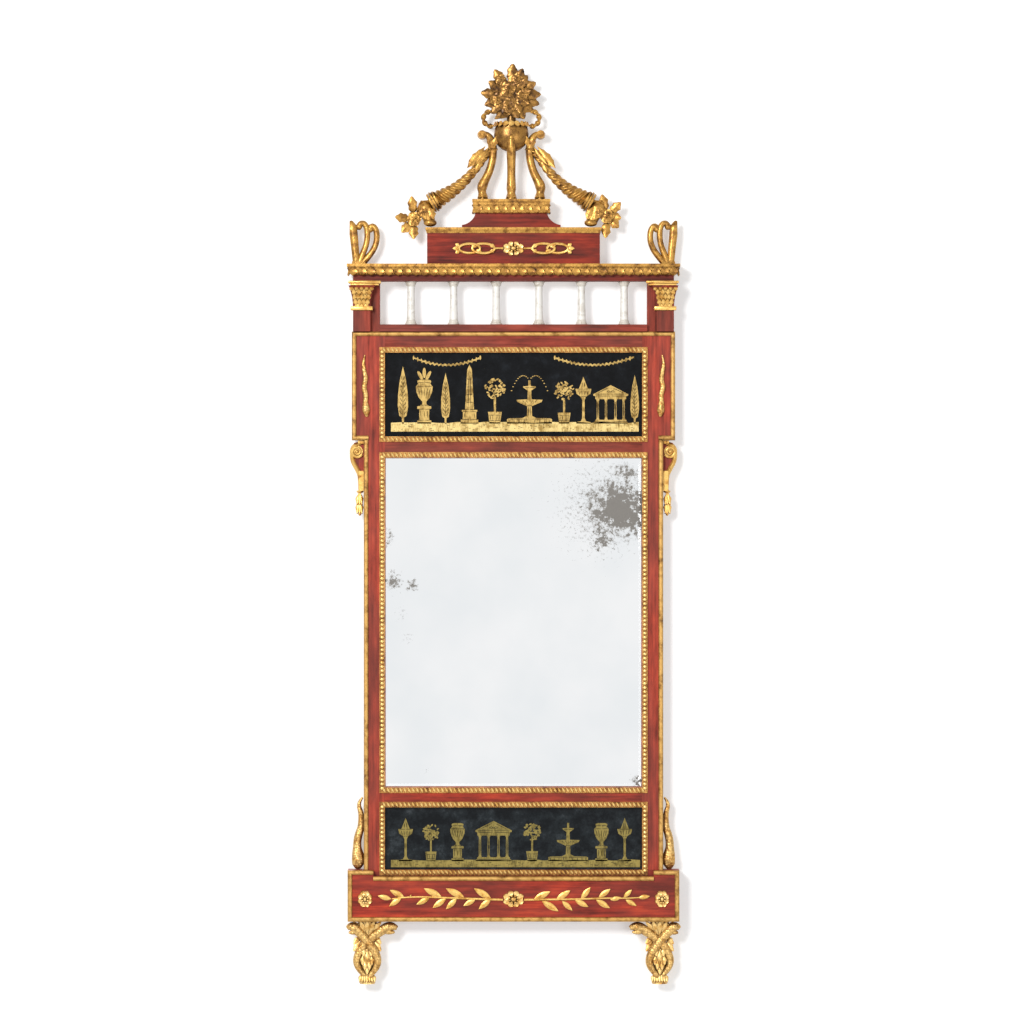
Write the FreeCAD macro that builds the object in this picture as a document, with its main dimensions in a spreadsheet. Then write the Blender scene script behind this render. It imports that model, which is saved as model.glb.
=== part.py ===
"""Neoclassical wall mirror, painted red and parcel gilt, with two panels of painted glass.

X runs to the right, Y into the wall and Z up. The origin is the middle of the mirror plate on the
wall plane, so everything in front of the wall has a negative Y. Lengths are in millimetres.
"""
import FreeCAD, Part
import math
import os
from types import SimpleNamespace

import Sketcher
from FreeCAD import Placement, Rotation, Vector

SIZES = (
    ("sight_width", 386.0, "width of the three openings between their beadings"),
    ("mirror_height", 495.0, "height of the mirror opening"),
    ("upper_panel_height", 126.0, "height of the upper glass opening"),
    ("lower_panel_height", 94.0, "height of the lower glass opening"),
    ("stile_width", 31.5, "stile, sight edge to outer edge"),
    ("cross_rail_height", 31.5, "upper cross rail, sight edge to sight edge"),
    ("lower_rail_height", 29.5, "lower cross rail, sight edge to sight edge"),
    ("top_rail_height", 31.5, "top rail, sight edge to top"),
    ("frame_depth", 20.0, "thickness of stiles and rails"),
    ("board_thickness", 6.0, "backboards, planted on the back of the frame"),
    ("board_lap", 8.0, "lap of a backboard on the frame past the rebate"),
    ("board_gap", 1.5, "between two backboards, at the middle of a cross rail"),
    ("lip_thickness", 6.0, "wood in front of the glass"),
    ("rebate_width", 7.0, "width of the rebate that takes the glass"),
    ("glass_thickness", 3.0, "mirror plate and painted panels"),
    ("glass_play", 0.5, "room round a glass in its rebate"),
    ("bevel_width", 12.0, "ground bevel round the mirror plate"),
    ("bevel_drop", 0.8, "depth of that bevel at the edge"),
    ("block_length", 30.0, "glazing block along the rebate"),
    ("block_play", 0.3, "room between a glazing block and the rebate"),
    ("tenon_length", 12.0, "rail tenon in the stile"),
    ("tenon_thickness", 6.0, "rail and stile tenons"),
    ("tenon_inset", 3.0, "tenon shoulder above and below"),
    ("foot_tenon_length", 20.0, "stile tenon in the base block"),
    ("foot_tenon_width", 16.0, "width of that tenon"),
    ("joint_play", 0.15, "clearance of tenons, dowels and nails in their holes"),
    ("dowel_radius", 4.0, "beech dowels that join the storeys"),
    ("dowel_length", 22.0, "beech dowels that join the storeys"),
    ("nail_radius", 0.9, "backboard nail shank"),
    ("nail_length", 15.0, "backboard nail under its head"),
    ("nail_head_radius", 2.4, "backboard nail head"),
    ("nail_head_height", 0.8, "backboard nail head, hammered flush"),
    ("shoulder_width", 18.0, "block glued to the stile beside the upper panel"),
    ("shoulder_height", 163.0, "shoulder block"),
    ("edging_width", 7.0, "gilt edging strips"),
    ("edging_rise", 3.5, "gilt edging strips above the face"),
    ("edging_round", 3.2, "rounding of the edging strips"),
    ("beading_width", 9.0, "beading strip"),
    ("beading_fillet", 1.5, "flat on each side of the beads"),
    ("beading_fillet_rise", 2.0, "rise of those flats"),
    ("beading_rise", 5.0, "beading strip at the crown of the beads"),
    ("bead_round", 2.8, "rounding of the bead row"),
    ("base_width", 497.0, "base block"),
    ("base_height", 77.0, "base block"),
    ("base_depth", 28.0, "base block"),
    ("ledge_width", 420.0, "ledge under the lower panel"),
    ("sill_height", 10.5, "gallery sill"),
    ("sill_depth", 22.0, "gallery sill"),
    ("column_height", 65.0, "gallery, sill to entablature"),
    ("column_pitch", 64.0, "spacing of the six columns"),
    ("column_shift", 6.0, "row of columns off the middle line"),
    ("shaft_foot_radius", 6.4, "alabaster shaft at its foot"),
    ("shaft_neck_radius", 5.5, "alabaster shaft at its neck"),
    ("column_block_height", 7.5, "turned base and cap of a column"),
    ("column_block_radius", 8.6, "turned base and cap of a column"),
    ("spigot_radius", 2.5, "spigot of a base or cap"),
    ("spigot_length", 5.0, "spigot of a base or cap"),
    ("post_width", 40.0, "end post of the gallery"),
    ("post_depth", 16.0, "end post of the gallery"),
    ("post_setback", 2.0, "end post inside the shoulder's edge"),
    ("pilaster_width", 26.0, "raised pilaster on the post"),
    ("pilaster_rise", 8.0, "raised pilaster on the post"),
    ("capital_height", 44.0, "carved capital with its abacus"),
    ("capital_spread", 40.0, "capital bell under the abacus"),
    ("capital_rise", 17.0, "capital bell in front of the post"),
    ("capital_flare", 50.0, "radius of the hollow of the bell"),
    ("abacus_height", 7.0, "abacus"),
    ("abacus_width", 49.0, "abacus"),
    ("abacus_rise", 20.0, "abacus in front of the post"),
    ("necking_height", 6.0, "ring under the capital"),
    ("necking_rise", 12.0, "ring under the capital in front of the post"),
    ("architrave_height", 9.0, "plain band of the entablature"),
    ("entablature_depth", 26.0, "entablature board"),
    ("cornice_height", 16.5, "cornice moulding"),
    ("cornice_projection", 9.0, "cornice moulding"),
    ("attic_width", 259.0, "attic block"),
    ("attic_height", 55.0, "attic block"),
    ("attic_depth", 24.0, "attic block"),
    ("attic_moulding_height", 8.5, "moulding at the top of the attic"),
    ("attic_moulding_projection", 2.5, "moulding at the top of the attic"),
    ("crest_shift", 3.3, "crest off the middle line, to the left"),
    ("plinth_width", 107.0, "crest plinth at its top"),
    ("plinth_foot_width", 148.0, "crest plinth at its foot"),
    ("plinth_height", 42.0, "crest plinth"),
    ("plinth_depth", 26.0, "crest plinth"),
    ("plinth_hollow", 24.0, "radius of the hollow ends of the plinth"),
    ("plinth_moulding_height", 21.0, "moulding at the top of the plinth"),
    ("plinth_moulding_projection", 5.0, "moulding at the top of the plinth"),
    ("leg_height", 97.0, "tripod, plinth to the middle of the bowl"),
    ("leg_spread", 43.0, "foot of a side leg from the middle"),
    ("leg_radius", 6.6, "side leg at its thickest"),
    ("front_leg_radius", 6.4, "front leg at its thickest"),
    ("volute_radius", 6.5, "scroll at the top of a side leg"),
    ("bowl_radius", 26.5, "tripod bowl"),
    ("bowl_height", 46.0, "tripod bowl"),
    ("bowl_flatness", 0.68, "depth of the bowl over its width"),
    ("crest_play", 0.3, "room between the carvings of the crest"),
    ("rope_ring_height", 21.0, "rope ring above the scroll"),
    ("rope_ring_width", 13.0, "rope ring above the scroll"),
    ("rope_radius", 2.2, "rope of the rings"),
    ("bouquet_reach", 46.0, "leaf tips from the middle of the bouquet"),
    ("bouquet_rise", 37.0, "middle of the bouquet above the bowl"),
    ("rose_radius", 9.5, "roses of the bouquet"),
    ("leaf_half_width", 6.5, "bouquet and horn leaves"),
    ("leaf_thickness", 5.0, "bouquet and horn leaves"),
    ("leaf_bow", 2.0, "bouquet and horn leaves, bowed forward"),
    ("horn_mouth_inset", 17.5, "mouth of a cornucopia from the attic's end"),
    ("horn_mouth_rise", 40.0, "mouth of a cornucopia above the attic"),
    ("horn_radius", 11.0, "cornucopia at its mouth"),
    ("collar_radius", 14.0, "collar of a cornucopia"),
    ("collar_width", 5.0, "collar of a cornucopia"),
    ("horn_flower_overhang", 16.5, "middle of the horn flowers beyond the attic's end"),
    ("horn_flower_rise", 12.0, "middle of the horn flowers above the attic"),
    ("horn_leaf_reach", 30.0, "leaf tips of the horn flowers"),
    ("lyre_height", 66.0, "lyre finial"),
    ("lyre_reach", 28.0, "inner bar of a lyre from its root"),
    ("lyre_inset", 17.0, "root of a lyre from the cornice's end"),
    ("lyre_bar_radius", 3.3, "bars of a lyre"),
    ("rosette_width", 33.0, "attic and base rosettes"),
    ("attic_rosette_height", 22.0, "attic rosette"),
    ("base_rosette_height", 26.0, "base rosette"),
    ("end_rosette_width", 21.0, "rosettes at the ends of the base"),
    ("end_rosette_height", 27.0, "rosettes at the ends of the base"),
    ("end_rosette_inset", 26.0, "those rosettes from the end of the base"),
    ("rosette_rise", 7.0, "rosettes above the face"),
    ("link_length", 75.0, "attic scroll link"),
    ("link_height", 20.0, "attic scroll link"),
    ("link_band", 4.0, "ribbon of a scroll link"),
    ("spray_length", 180.0, "laurel spray of the base"),
    ("spray_leaf_length", 21.0, "laurel leaf"),
    ("spray_leaf_width", 9.5, "laurel leaf"),
    ("spray_rise", 4.0, "laurel spray above the face"),
    ("serpent_length", 92.0, "serpent on a shoulder"),
    ("serpent_radius", 5.0, "serpent on a shoulder, at the head"),
    ("side_serpent_height", 108.0, "serpent standing on the base"),
    ("side_serpent_radius", 5.0, "body of that serpent"),
    ("bracket_reach", 21.0, "scroll bracket from the stile"),
    ("bracket_height", 70.0, "scroll bracket under the shoulder"),
    ("bracket_depth", 15.0, "scroll bracket"),
    ("drop_length", 45.0, "bellflower drop under the scroll"),
    ("foot_height", 95.0, "carved foot"),
    ("foot_inner_reach", 45.0, "inner serpent's nose from the middle of a foot"),
    ("foot_outer_reach", 30.0, "outer serpent's nose from the middle of a foot"),
    ("foot_bulge", 42.0, "serpents' tails, bending round the bulb"),
    ("foot_inset", 29.0, "middle of a foot from the end of the base"),
    ("foot_serpent_radius", 6.0, "serpents of a foot"),
    ("foot_core_radius", 13.0, "leaf bulb of a foot"),
    ("hanger_inset", 5.5, "middle of a hanger from the stile's outer edge"),
    ("hanger_drop", 41.0, "hanger pivot below the top of the frame"),
    ("strap_width", 10.0, "iron hanger strap"),
    ("strap_thickness", 1.5, "iron hanger strap"),
    ("strap_length", 36.0, "iron hanger strap below its pivot"),
    ("ring_wire_radius", 1.5, "wire of a hanging ring"),
    ("ring_half_width", 8.0, "hanging ring, wire middle to wire middle, halved"),
    ("ring_bend", 2.0, "bends beside the pivot bar"),
    ("ring_straight", 8.0, "straight sides of a hanging ring"),
    ("ring_play", 0.1, "running clearance of a ring in its strap"),
    ("knuckle_wall", 1.3, "strap rolled round the ring"),
    ("screw_radius", 1.6, "hanger screw shank"),
    ("screw_length", 12.0, "hanger screw under its head"),
    ("screw_head_radius", 3.0, "hanger screw head"),
    ("screw_pitch", 16.0, "between the two screws of a strap"),
)

doc = FreeCAD.newDocument("Mirror")
sheet = doc.addObject("Spreadsheet::Sheet", "Sizes")


class Size:
    """A length in millimetres together with the sheet formula that gives it."""

    def __init__(self, value, formula):
        self.value = value
        self.formula = formula

    def __add__(self, other):
        other = as_size(other)
        return Size(self.value + other.value, f"({self.formula} + {other.formula})")

    def __sub__(self, other):
        other = as_size(other)
        return Size(self.value - other.value, f"({self.formula} - {other.formula})")

    def __mul__(self, factor):
        return Size(self.value * factor, f"({self.formula} * {factor})")

    def __truediv__(self, divisor):
        return Size(self.value / divisor, f"({self.formula} / {divisor})")

    def __neg__(self):
        return Size(-self.value, f"(-1 * {self.formula})")

    def __float__(self):
        return float(self.value)


def as_size(number):
    return number if isinstance(number, Size) else Size(float(number), str(float(number)))


def fill_sheet(rows):
    """Write each driving size to a row of the sheet and give it back by its alias."""
    sizes = {}
    for number, (alias, value, meaning) in enumerate(rows, start=1):
        sheet.set(f"A{number}", meaning)
        sheet.set(f"B{number}", str(value))
        sheet.setAlias(f"B{number}", alias)
        sizes[alias] = Size(value, f"Sizes.{alias}")
    return SimpleNamespace(**sizes)


S = fill_sheet(SIZES)
doc.recompute()

# Levels of the storeys, from the middle of the mirror plate.
sight = S.sight_width / 2
stile_outer = sight + S.stile_width
shoulder_outer = stile_outer + S.shoulder_width
rebate_edge = sight + S.rebate_width
mirror_top = S.mirror_height / 2
mirror_bottom = -mirror_top
upper_bottom = mirror_top + S.cross_rail_height
upper_top = upper_bottom + S.upper_panel_height
frame_top = upper_top + S.top_rail_height
shoulder_bottom = frame_top - S.shoulder_height
lower_top = mirror_bottom - S.lower_rail_height
base_top = lower_top - S.lower_panel_height
base_bottom = base_top - S.base_height
sill_top = frame_top + S.sill_height
entablature_bottom = sill_top + S.column_height
cornice_bottom = entablature_bottom + S.architrave_height
entablature_top = cornice_bottom + S.cornice_height
attic_top = entablature_top + S.attic_height
plinth_top = attic_top + S.plinth_height

# Planes in depth, from the wall to the front.
back = -S.board_thickness
front = back - S.frame_depth
glass_front = front + S.lip_thickness
glass_back = glass_front + S.glass_thickness
base_front = back - S.base_depth
post_front = back - S.post_setback - S.post_depth
attic_front = back - S.attic_depth
entablature_half = shoulder_outer - S.post_setback
post_outer = shoulder_outer - S.post_setback
post_inner = post_outer - S.post_width


UP = Vector(0, 0, 1)
FORWARD = Vector(0, -1, 0)


def bind(thing, **sizes):
    """Tie properties to the sheet; two underscores in a keyword stand for a dot."""
    for path, size in sizes.items():
        thing.setExpression(path.replace("__", "."), as_size(size).formula)
    return thing


def place(thing, at, rotation=Rotation()):
    thing.Placement = Placement(Vector(*(float(as_size(a)) for a in at)), rotation)
    return bind(thing, Placement__Base__x=at[0], Placement__Base__y=at[1], Placement__Base__z=at[2])


def block(name, low, high):
    """A rectangular piece between its lowest and highest corners."""
    piece = doc.addObject("Part::Box", name)
    spans = [as_size(b) - a for a, b in zip(low, high)]
    bind(piece, Length=spans[0], Width=spans[1], Height=spans[2])
    return place(piece, low)


def rod(name, radius, length, foot, axis):
    piece = doc.addObject("Part::Cylinder", name)
    bind(piece, Radius=radius, Height=length)
    return place(piece, foot, Rotation(Vector(0, 0, 1), axis))


def group(name, pieces):
    """Separate solids of one kind under one name."""
    result = doc.addObject("Part::Compound", name)
    result.Links = pieces
    return result


def cut(name, base, waste):
    result = doc.addObject("Part::Cut", name)
    result.Base = base
    result.Tool = waste[0] if len(waste) == 1 else group(f"{name}_waste", waste)
    return result


def fuse(name, pieces):
    result = doc.addObject("Part::MultiFuse", name)
    result.Shapes = pieces
    return result


def mirrored(name, source, middle=0.0):
    """The same piece on the other side of the vertical plane x = middle."""
    result = doc.addObject("Part::Mirroring", name)
    result.Source = source
    result.Normal = Vector(1, 0, 0)
    result.Base = Vector(float(as_size(middle)), 0, 0)
    return bind(result, Base__x=middle)


def arc_between(start, end, radius, turn):
    """The shorter arc from start to end: turn is 1 counterclockwise and -1 clockwise."""
    chord = end - start
    height = math.sqrt(max(radius**2 - chord.Length**2 / 4, 0.0))
    side = Vector(-chord.y, chord.x, 0).normalize()
    centre = (start + end) / 2 + side * height * turn
    first, last = (start, end) if turn > 0 else (end, start)
    angles = [math.atan2(p.y - centre.y, p.x - centre.x) for p in (first, last)]
    return Part.ArcOfCircle(Part.Circle(centre, Vector(0, 0, 1), radius), *angles)


def add_sketch(body, role, corners, closed=True):
    """A sketch through corners (u, v); (u, v, radius, turn) is a corner that an arc arrives at."""
    sketch = body.newObject("Sketcher::SketchObject", f"{body.Name}_{role}")
    plane = next(f for f in body.Origin.OriginFeatures if f.Role == role)
    sketch.AttachmentSupport = [(plane, "")]
    sketch.MapMode = "FlatFace"
    spots = [Vector(float(as_size(c[0])), float(as_size(c[1])), 0) for c in corners]
    count = len(corners) if closed else len(corners) - 1
    ends = []
    radii = {}
    for i in range(count):
        j = (i + 1) % len(corners)
        if len(corners[j]) == 2:
            sketch.addGeometry(Part.LineSegment(spots[i], spots[j]), False)
            ends.append((1, 2))
        else:
            radius, turn = corners[j][2:]
            sketch.addGeometry(arc_between(spots[i], spots[j], float(radius), turn), False)
            ends.append((1, 2) if turn > 0 else (2, 1))
            radii[i] = radius
    for i in range(count if closed else count - 1):
        j = (i + 1) % count
        sketch.addConstraint(Sketcher.Constraint("Coincident", i, ends[i][1], j, ends[j][0]))
    for i, corner in enumerate(corners):
        line, point = (i, ends[i][0]) if i < count else (count - 1, ends[count - 1][1])
        for kind, size in (("DistanceX", corner[0]), ("DistanceY", corner[1])):
            size = as_size(size)
            index = sketch.addConstraint(Sketcher.Constraint(kind, line, point, size.value))
            sketch.setExpression(f"Constraints[{index}]", size.formula)
    for line, radius in radii.items():
        index = sketch.addConstraint(Sketcher.Constraint("Radius", line, float(radius)))
        sketch.setExpression(f"Constraints[{index}]", radius.formula)
    return sketch


def add_pad(body, role, corners, depth):
    pad = body.newObject("PartDesign::Pad", f"{body.Name}_pad")
    pad.Profile = add_sketch(body, role, corners)
    return bind(pad, Length=depth)


def padded(name, role, corners, depth, at, rotation=Rotation()):
    """A body of one outline pushed out of its plane: XZ comes forward, XY up, YZ to the right."""
    body = doc.addObject("PartDesign::Body", name)
    add_pad(body, role, corners, depth)
    return place(body, at, rotation)


def turned(name, profile, at):
    """A piece turned on the lathe, from its half profile (radius, height)."""
    body = doc.addObject("PartDesign::Body", name)
    spin = body.newObject("PartDesign::Revolution", f"{name}_turning")
    sketch = add_sketch(body, "XZ_Plane", profile)
    spin.Profile = sketch
    spin.ReferenceAxis = (sketch, ["V_Axis"])
    spin.Angle = 360
    return place(body, at)


def moulding(name, half_width, run, profile, at):
    """A moulding mitred round the left end, the front and the right end of a board.

    The profile's corners are (out from the board, up), with arcs as in a sketch.
    """
    body = doc.addObject("PartDesign::Body", name)
    route = [(-half_width, 0.0), (-half_width, -run), (half_width, -run), (half_width, 0.0)]
    path = add_sketch(body, "XY_Plane", route, closed=False)
    corners = []
    for out, up, *arc in profile:
        side = -half_width - out
        corners.append((side, up, arc[0], -arc[1]) if arc else (side, up))
    pipe = body.newObject("PartDesign::AdditivePipe", f"{name}_run")
    pipe.Profile = add_sketch(body, "XZ_Plane", corners)
    pipe.Spine = (path, ["Edge1", "Edge2", "Edge3"])
    pipe.Transition = "Right corner"
    return place(body, at)


def round_front(body, pad, rise, radius):
    """Round the two long edges of a strip's front."""
    doc.recompute()
    names = []
    for number, edge in enumerate(pad.Shape.Edges, start=1):
        along = abs(edge.tangentAt(edge.FirstParameter).x) > 0.99
        in_front = all(abs(v.Y + float(rise)) < 0.001 for v in edge.Vertexes)
        if along and in_front:
            names.append(f"Edge{number}")
    fillet = body.newObject("PartDesign::Fillet", f"{body.Name}_round")
    fillet.Base = (pad, names)
    bind(fillet, Radius=radius)


def strip_corners(length, near, far, mitres):
    """Outline of a strip between two distances from its outer edge; a mitre slopes at 45 degrees."""
    half = length / 2
    left, right = mitres
    return [
        (-half + near * left, near),
        (half - near * right, near),
        (half - far * right, far),
        (-half + far * left, far),
    ]


def edging(name, length, mitres, at, rotation):
    """A half-round gilt strip that lies on its outer edge, along X before it is turned."""
    body = doc.addObject("PartDesign::Body", name)
    corners = strip_corners(length, as_size(0.0), S.edging_width, mitres)
    pad = add_pad(body, "XZ_Plane", corners, S.edging_rise)
    round_front(body, pad, S.edging_rise, S.edging_round)
    return place(body, at, rotation)


def beading(name, length, at, rotation):
    """A mitred strip with two flats and a row of beads, which stands here as one round."""
    body = doc.addObject("PartDesign::Body", name)
    flats = strip_corners(length, as_size(0.0), S.beading_width, (1, 1))
    add_pad(body, "XZ_Plane", flats, S.beading_fillet_rise)
    far = S.beading_width - S.beading_fillet
    pad = add_pad(body, "XZ_Plane", strip_corners(length, S.beading_fillet, far, (1, 1)), S.beading_rise)
    round_front(body, pad, S.beading_rise, S.bead_round)
    return place(body, at, rotation)


# A strip is drawn with its outer edge below; these turn that edge to each side.
OUTER_EDGE = {
    "bottom": Rotation(),
    "left": Rotation(Vector(0, 1, 0), 90),
    "top": Rotation(Vector(0, 1, 0), 180),
    "right": Rotation(Vector(0, 1, 0), -90),
}


def beading_frame(name, bottom, top):
    """Four mitred beading strips round an opening."""
    outer = sight + S.beading_width
    low = bottom - S.beading_width
    high = top + S.beading_width
    middle = (low + high) / 2
    spots = {
        "bottom": (outer * 2, (0.0, front, low)),
        "top": (outer * 2, (0.0, front, high)),
        "left": (high - low, (-outer, front, middle)),
        "right": (high - low, (outer, front, middle)),
    }
    strips = []
    for side, (length, at) in spots.items():
        strips.append(beading(f"{name}_{side}", length, at, OUTER_EDGE[side]))
    return group(name, strips)


# Carving: skins stretched over rings of points along a line.


def skin(rings):
    """A closed solid over rings of points, with a flat cap at each end."""
    surface = Part.BSplineSurface()
    surface.interpolate([ring + [ring[0]] for ring in rings])
    face = surface.toShape()
    caps = [Part.Face(Part.Wire([edge])) for edge in face.Edges if edge.isClosed()]
    shell = Part.Shell([face] + caps)
    shell.sewShape()
    solid = Part.Solid(shell)
    if solid.Volume < 0:
        solid.reverse()
    return solid


def limb(line, radii, flatness=1.0, sides=8, rings=10, flutes=0, flute_depth=0.0, twist=0.0):
    """A carved stem through the points of a line, with a radius at each; flatness is depth over width."""
    curve = Part.BSplineCurve()
    curve.interpolate(line)
    start = curve.FirstParameter
    stations = [curve.length(start, curve.parameter(spot)) for spot in line[:-1]] + [curve.length()]
    hoops = []
    for step in range(rings):
        station = stations[-1] * step / (rings - 1)
        place_on_curve = curve.parameterAtDistance(station, start) if step else start
        spot = curve.value(place_on_curve)
        along = curve.tangent(place_on_curve)[0]
        across = along.cross(Vector(0, 1, 0)).normalize()
        depth = along.cross(across)
        radius = radius_at(station, stations, radii)
        hoop = []
        for k in range(sides):
            angle = 2 * math.pi * k / sides
            reach = radius * (1 + flute_depth * math.cos(flutes * angle))
            angle += twist * step
            out = across * math.cos(angle) + depth * (flatness * math.sin(angle))
            hoop.append(spot + out * reach)
        hoops.append(hoop)
    return skin(hoops)


def radius_at(station, stations, radii):
    """Radius between the two given points that a station lies between."""
    for i in range(len(stations) - 1):
        if station <= stations[i + 1] or i == len(stations) - 2:
            share = (station - stations[i]) / (stations[i + 1] - stations[i])
            return radii[i] + (radii[i + 1] - radii[i]) * min(share, 1.0)


def oval_ring(spot, wide, deep, sides=12):
    """Points of a level oval round a spot."""
    angles = [2 * math.pi * k / sides for k in range(sides)]
    return [spot + Vector(wide * math.cos(angle), deep * math.sin(angle), 0) for angle in angles]


def trail(points, across, up, depth=0.0):
    """Points given as shares of a width and a height, in a plane facing the front."""
    return [Vector(u * float(across), depth, v * float(up)) for u, v in points]


def facets(rings):
    """A solid chip-carved in flat cuts between rings of points."""
    return Part.makeLoft([Part.makePolygon(ring + [ring[0]]) for ring in rings], True, True)


# Half width of a leaf along its length, from root to tip.
LEAF_OUTLINE = ((0.0, 0.4), (0.25, 0.86), (0.5, 1.0), (0.76, 0.66), (1.0, 0.08))
LEAF_RIDGE = 0.7
LEAF_EDGE = 0.3


def leaf(root, tip, half_width, thickness, bow=0.0):
    """A leaf with a ridge along its middle, bowed forward between its root and its tip."""
    way = tip - root
    across = way.cross(Vector(0, 1, 0)).normalize()
    rings = []
    for share, width in LEAF_OUTLINE:
        spot = root + way * share + FORWARD * (float(bow) * math.sin(math.pi * share))
        reach = across * (width * float(half_width))
        thick = FORWARD * (float(thickness) * max(width, LEAF_EDGE))
        ridge = spot + thick * LEAF_RIDGE
        rings.append([spot + reach, ridge, spot - reach, ridge - thick])
    return facets(rings)


BALL_SIDES = 12
BALL_BANDS = 6


def ball(centre, radius):
    """A round boss, roughed out in flat cuts in rings round an axis that faces the front."""
    rings = []
    for band in range(BALL_BANDS):
        polar = math.pi * (band + 0.5) / BALL_BANDS
        ring = []
        for k in range(BALL_SIDES):
            angle = 2 * math.pi * k / BALL_SIDES
            wide = math.sin(polar)
            out = Vector(wide * math.cos(angle), math.cos(polar), wide * math.sin(angle))
            ring.append(centre + out * float(radius))
        rings.append(ring)
    return facets(rings)


def joined(shapes):
    """One solid of several that run into each other."""
    result = shapes[0].multiFuse(shapes[1:])
    if len(result.Solids) != 1:
        raise RuntimeError(f"{len(shapes)} shapes joined to {len(result.Solids)} solids")
    return result.Solids[0]


FAR = 2000.0


def ahead_of(shape, depth):
    """What lies in front of a plane that faces the viewer."""
    return shape.common(Part.makeBox(FAR, FAR, FAR, Vector(-FAR / 2, depth - FAR, -FAR / 2)))


def above(shape, height):
    return shape.common(Part.makeBox(FAR, FAR, FAR, Vector(-FAR / 2, -FAR / 2, height)))


def below(shape, height):
    return shape.common(Part.makeBox(FAR, FAR, FAR, Vector(-FAR / 2, -FAR / 2, height - FAR)))


def left_of(shape, side):
    return shape.common(Part.makeBox(FAR, FAR, FAR, Vector(side - FAR, -FAR / 2, -FAR / 2)))


def carved(name, shape, at):
    """A carving, given round its own point and set on the mirror at that point."""
    if len(shape.Solids) != 1 or not shape.Solids[0].isValid():
        raise RuntimeError(f"{name} isn't one sound solid")
    piece = doc.addObject("Part::Feature", name)
    piece.Shape = shape.Solids[0]
    return place(piece, at)


# Dowels between the storeys: middle of each, on the seam between the two pieces.
dowel_depth = back - S.frame_depth / 2
post_dowel = post_inner + S.post_width / 2
foot_middle = S.base_width / 2 - S.foot_inset
crest_middle = -S.crest_shift
DOWELS = {
    "post_foot": (post_dowel, frame_top),
    "post_head": (post_dowel, entablature_bottom),
    "attic": (S.attic_width / 3, entablature_top),
    "plinth": (S.plinth_width / 3, attic_top),
    "foot": (foot_middle, base_bottom),
}


def dowel_hole(name, side, joint):
    """Hole through the seam for one dowel; side is -1 on the left and 1 on the right."""
    across, seam = DOWELS[joint]
    reach = S.dowel_length / 2 + S.joint_play
    foot = (across * side, dowel_depth, seam - reach)
    return rod(name, S.dowel_radius + S.joint_play, reach * 2, foot, UP)


def make_dowels():
    dowels = []
    for joint, (across, seam) in DOWELS.items():
        for side in (-1, 1):
            foot = (across * side, dowel_depth, seam - S.dowel_length / 2)
            dowels.append(rod(f"dowel_{joint}_{side + 1}", S.dowel_radius, S.dowel_length, foot, UP))
    return group("dowels", dowels)


# Backboard nails: rows up both stiles, as (level, how many) for each board.
nail_across = rebate_edge + S.board_lap / 2
NAIL_ROWS = {
    "upper": (upper_bottom, upper_top, 2),
    "mirror": (mirror_bottom, mirror_top, 4),
    "lower": (base_top, lower_top, 2),
}


# Lower and upper edge of each backboard.
board_end = S.rebate_width + S.board_lap
BOARD_EDGES = {
    "upper": (upper_bottom - S.cross_rail_height / 2 + S.board_gap / 2, upper_top + board_end),
    "mirror": (
        mirror_bottom - S.lower_rail_height / 2 + S.board_gap / 2,
        mirror_top + S.cross_rail_height / 2 - S.board_gap / 2,
    ),
    "lower": (base_top - board_end, lower_top + S.lower_rail_height / 2 - S.board_gap / 2),
}


def nail_levels(opening):
    bottom, top, count = NAIL_ROWS[opening]
    return [bottom + (top - bottom) * ((i + 0.5) / count) for i in range(count)]


def make_backboard(opening):
    """A thin pine board over the back of one opening, drilled for its nails."""
    bottom, top = BOARD_EDGES[opening]
    edge = rebate_edge + S.board_lap
    board = block(f"{opening}_plank", (-edge, back, bottom), (edge, 0.0, top))
    holes = []
    for row, level in enumerate(nail_levels(opening)):
        for side in (-1, 1):
            spot = f"{opening}_{row}_{side + 1}"
            at = (nail_across * side, 0.0, level)
            holes.append(rod(f"bore_{spot}", S.nail_radius + S.joint_play, S.board_thickness, at, FORWARD))
            head_depth = S.nail_head_height + S.joint_play
            holes.append(rod(f"sink_{spot}", S.nail_head_radius + S.joint_play, head_depth, at, FORWARD))
    return cut(f"{opening}_backboard", board, [fuse(f"{opening}_bores", holes)])


def make_nails():
    nails = []
    for opening in NAIL_ROWS:
        for row, level in enumerate(nail_levels(opening)):
            for side in (-1, 1):
                spot = f"{opening}_{row}_{side + 1}"
                at = (nail_across * side, 0.0, level)
                shank = rod(f"shank_{spot}", S.nail_radius, S.nail_length, at, FORWARD)
                head = rod(f"head_{spot}", S.nail_head_radius, S.nail_head_height, at, FORWARD)
                nails.append(fuse(f"nail_{spot}", [shank, head]))
    return group("backboard_nails", nails)


# Hanging iron on the back of the stiles.
hanger_across = stile_outer - S.hanger_inset
knuckle_radius = S.ring_wire_radius + S.ring_play + S.knuckle_wall
pivot_depth = back + knuckle_radius
pivot_level = frame_top - S.hanger_drop
SCREW_LEVELS = (
    pivot_level - S.strap_length + S.screw_head_radius * 1.5,
    pivot_level - S.strap_length + S.screw_head_radius * 1.5 + S.screw_pitch,
)


def screw_hole(name, side, level, play):
    foot = (hanger_across * side, back + S.strap_thickness, level)
    return rod(name, S.screw_radius + play, S.screw_length + play, foot, FORWARD)


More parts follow.
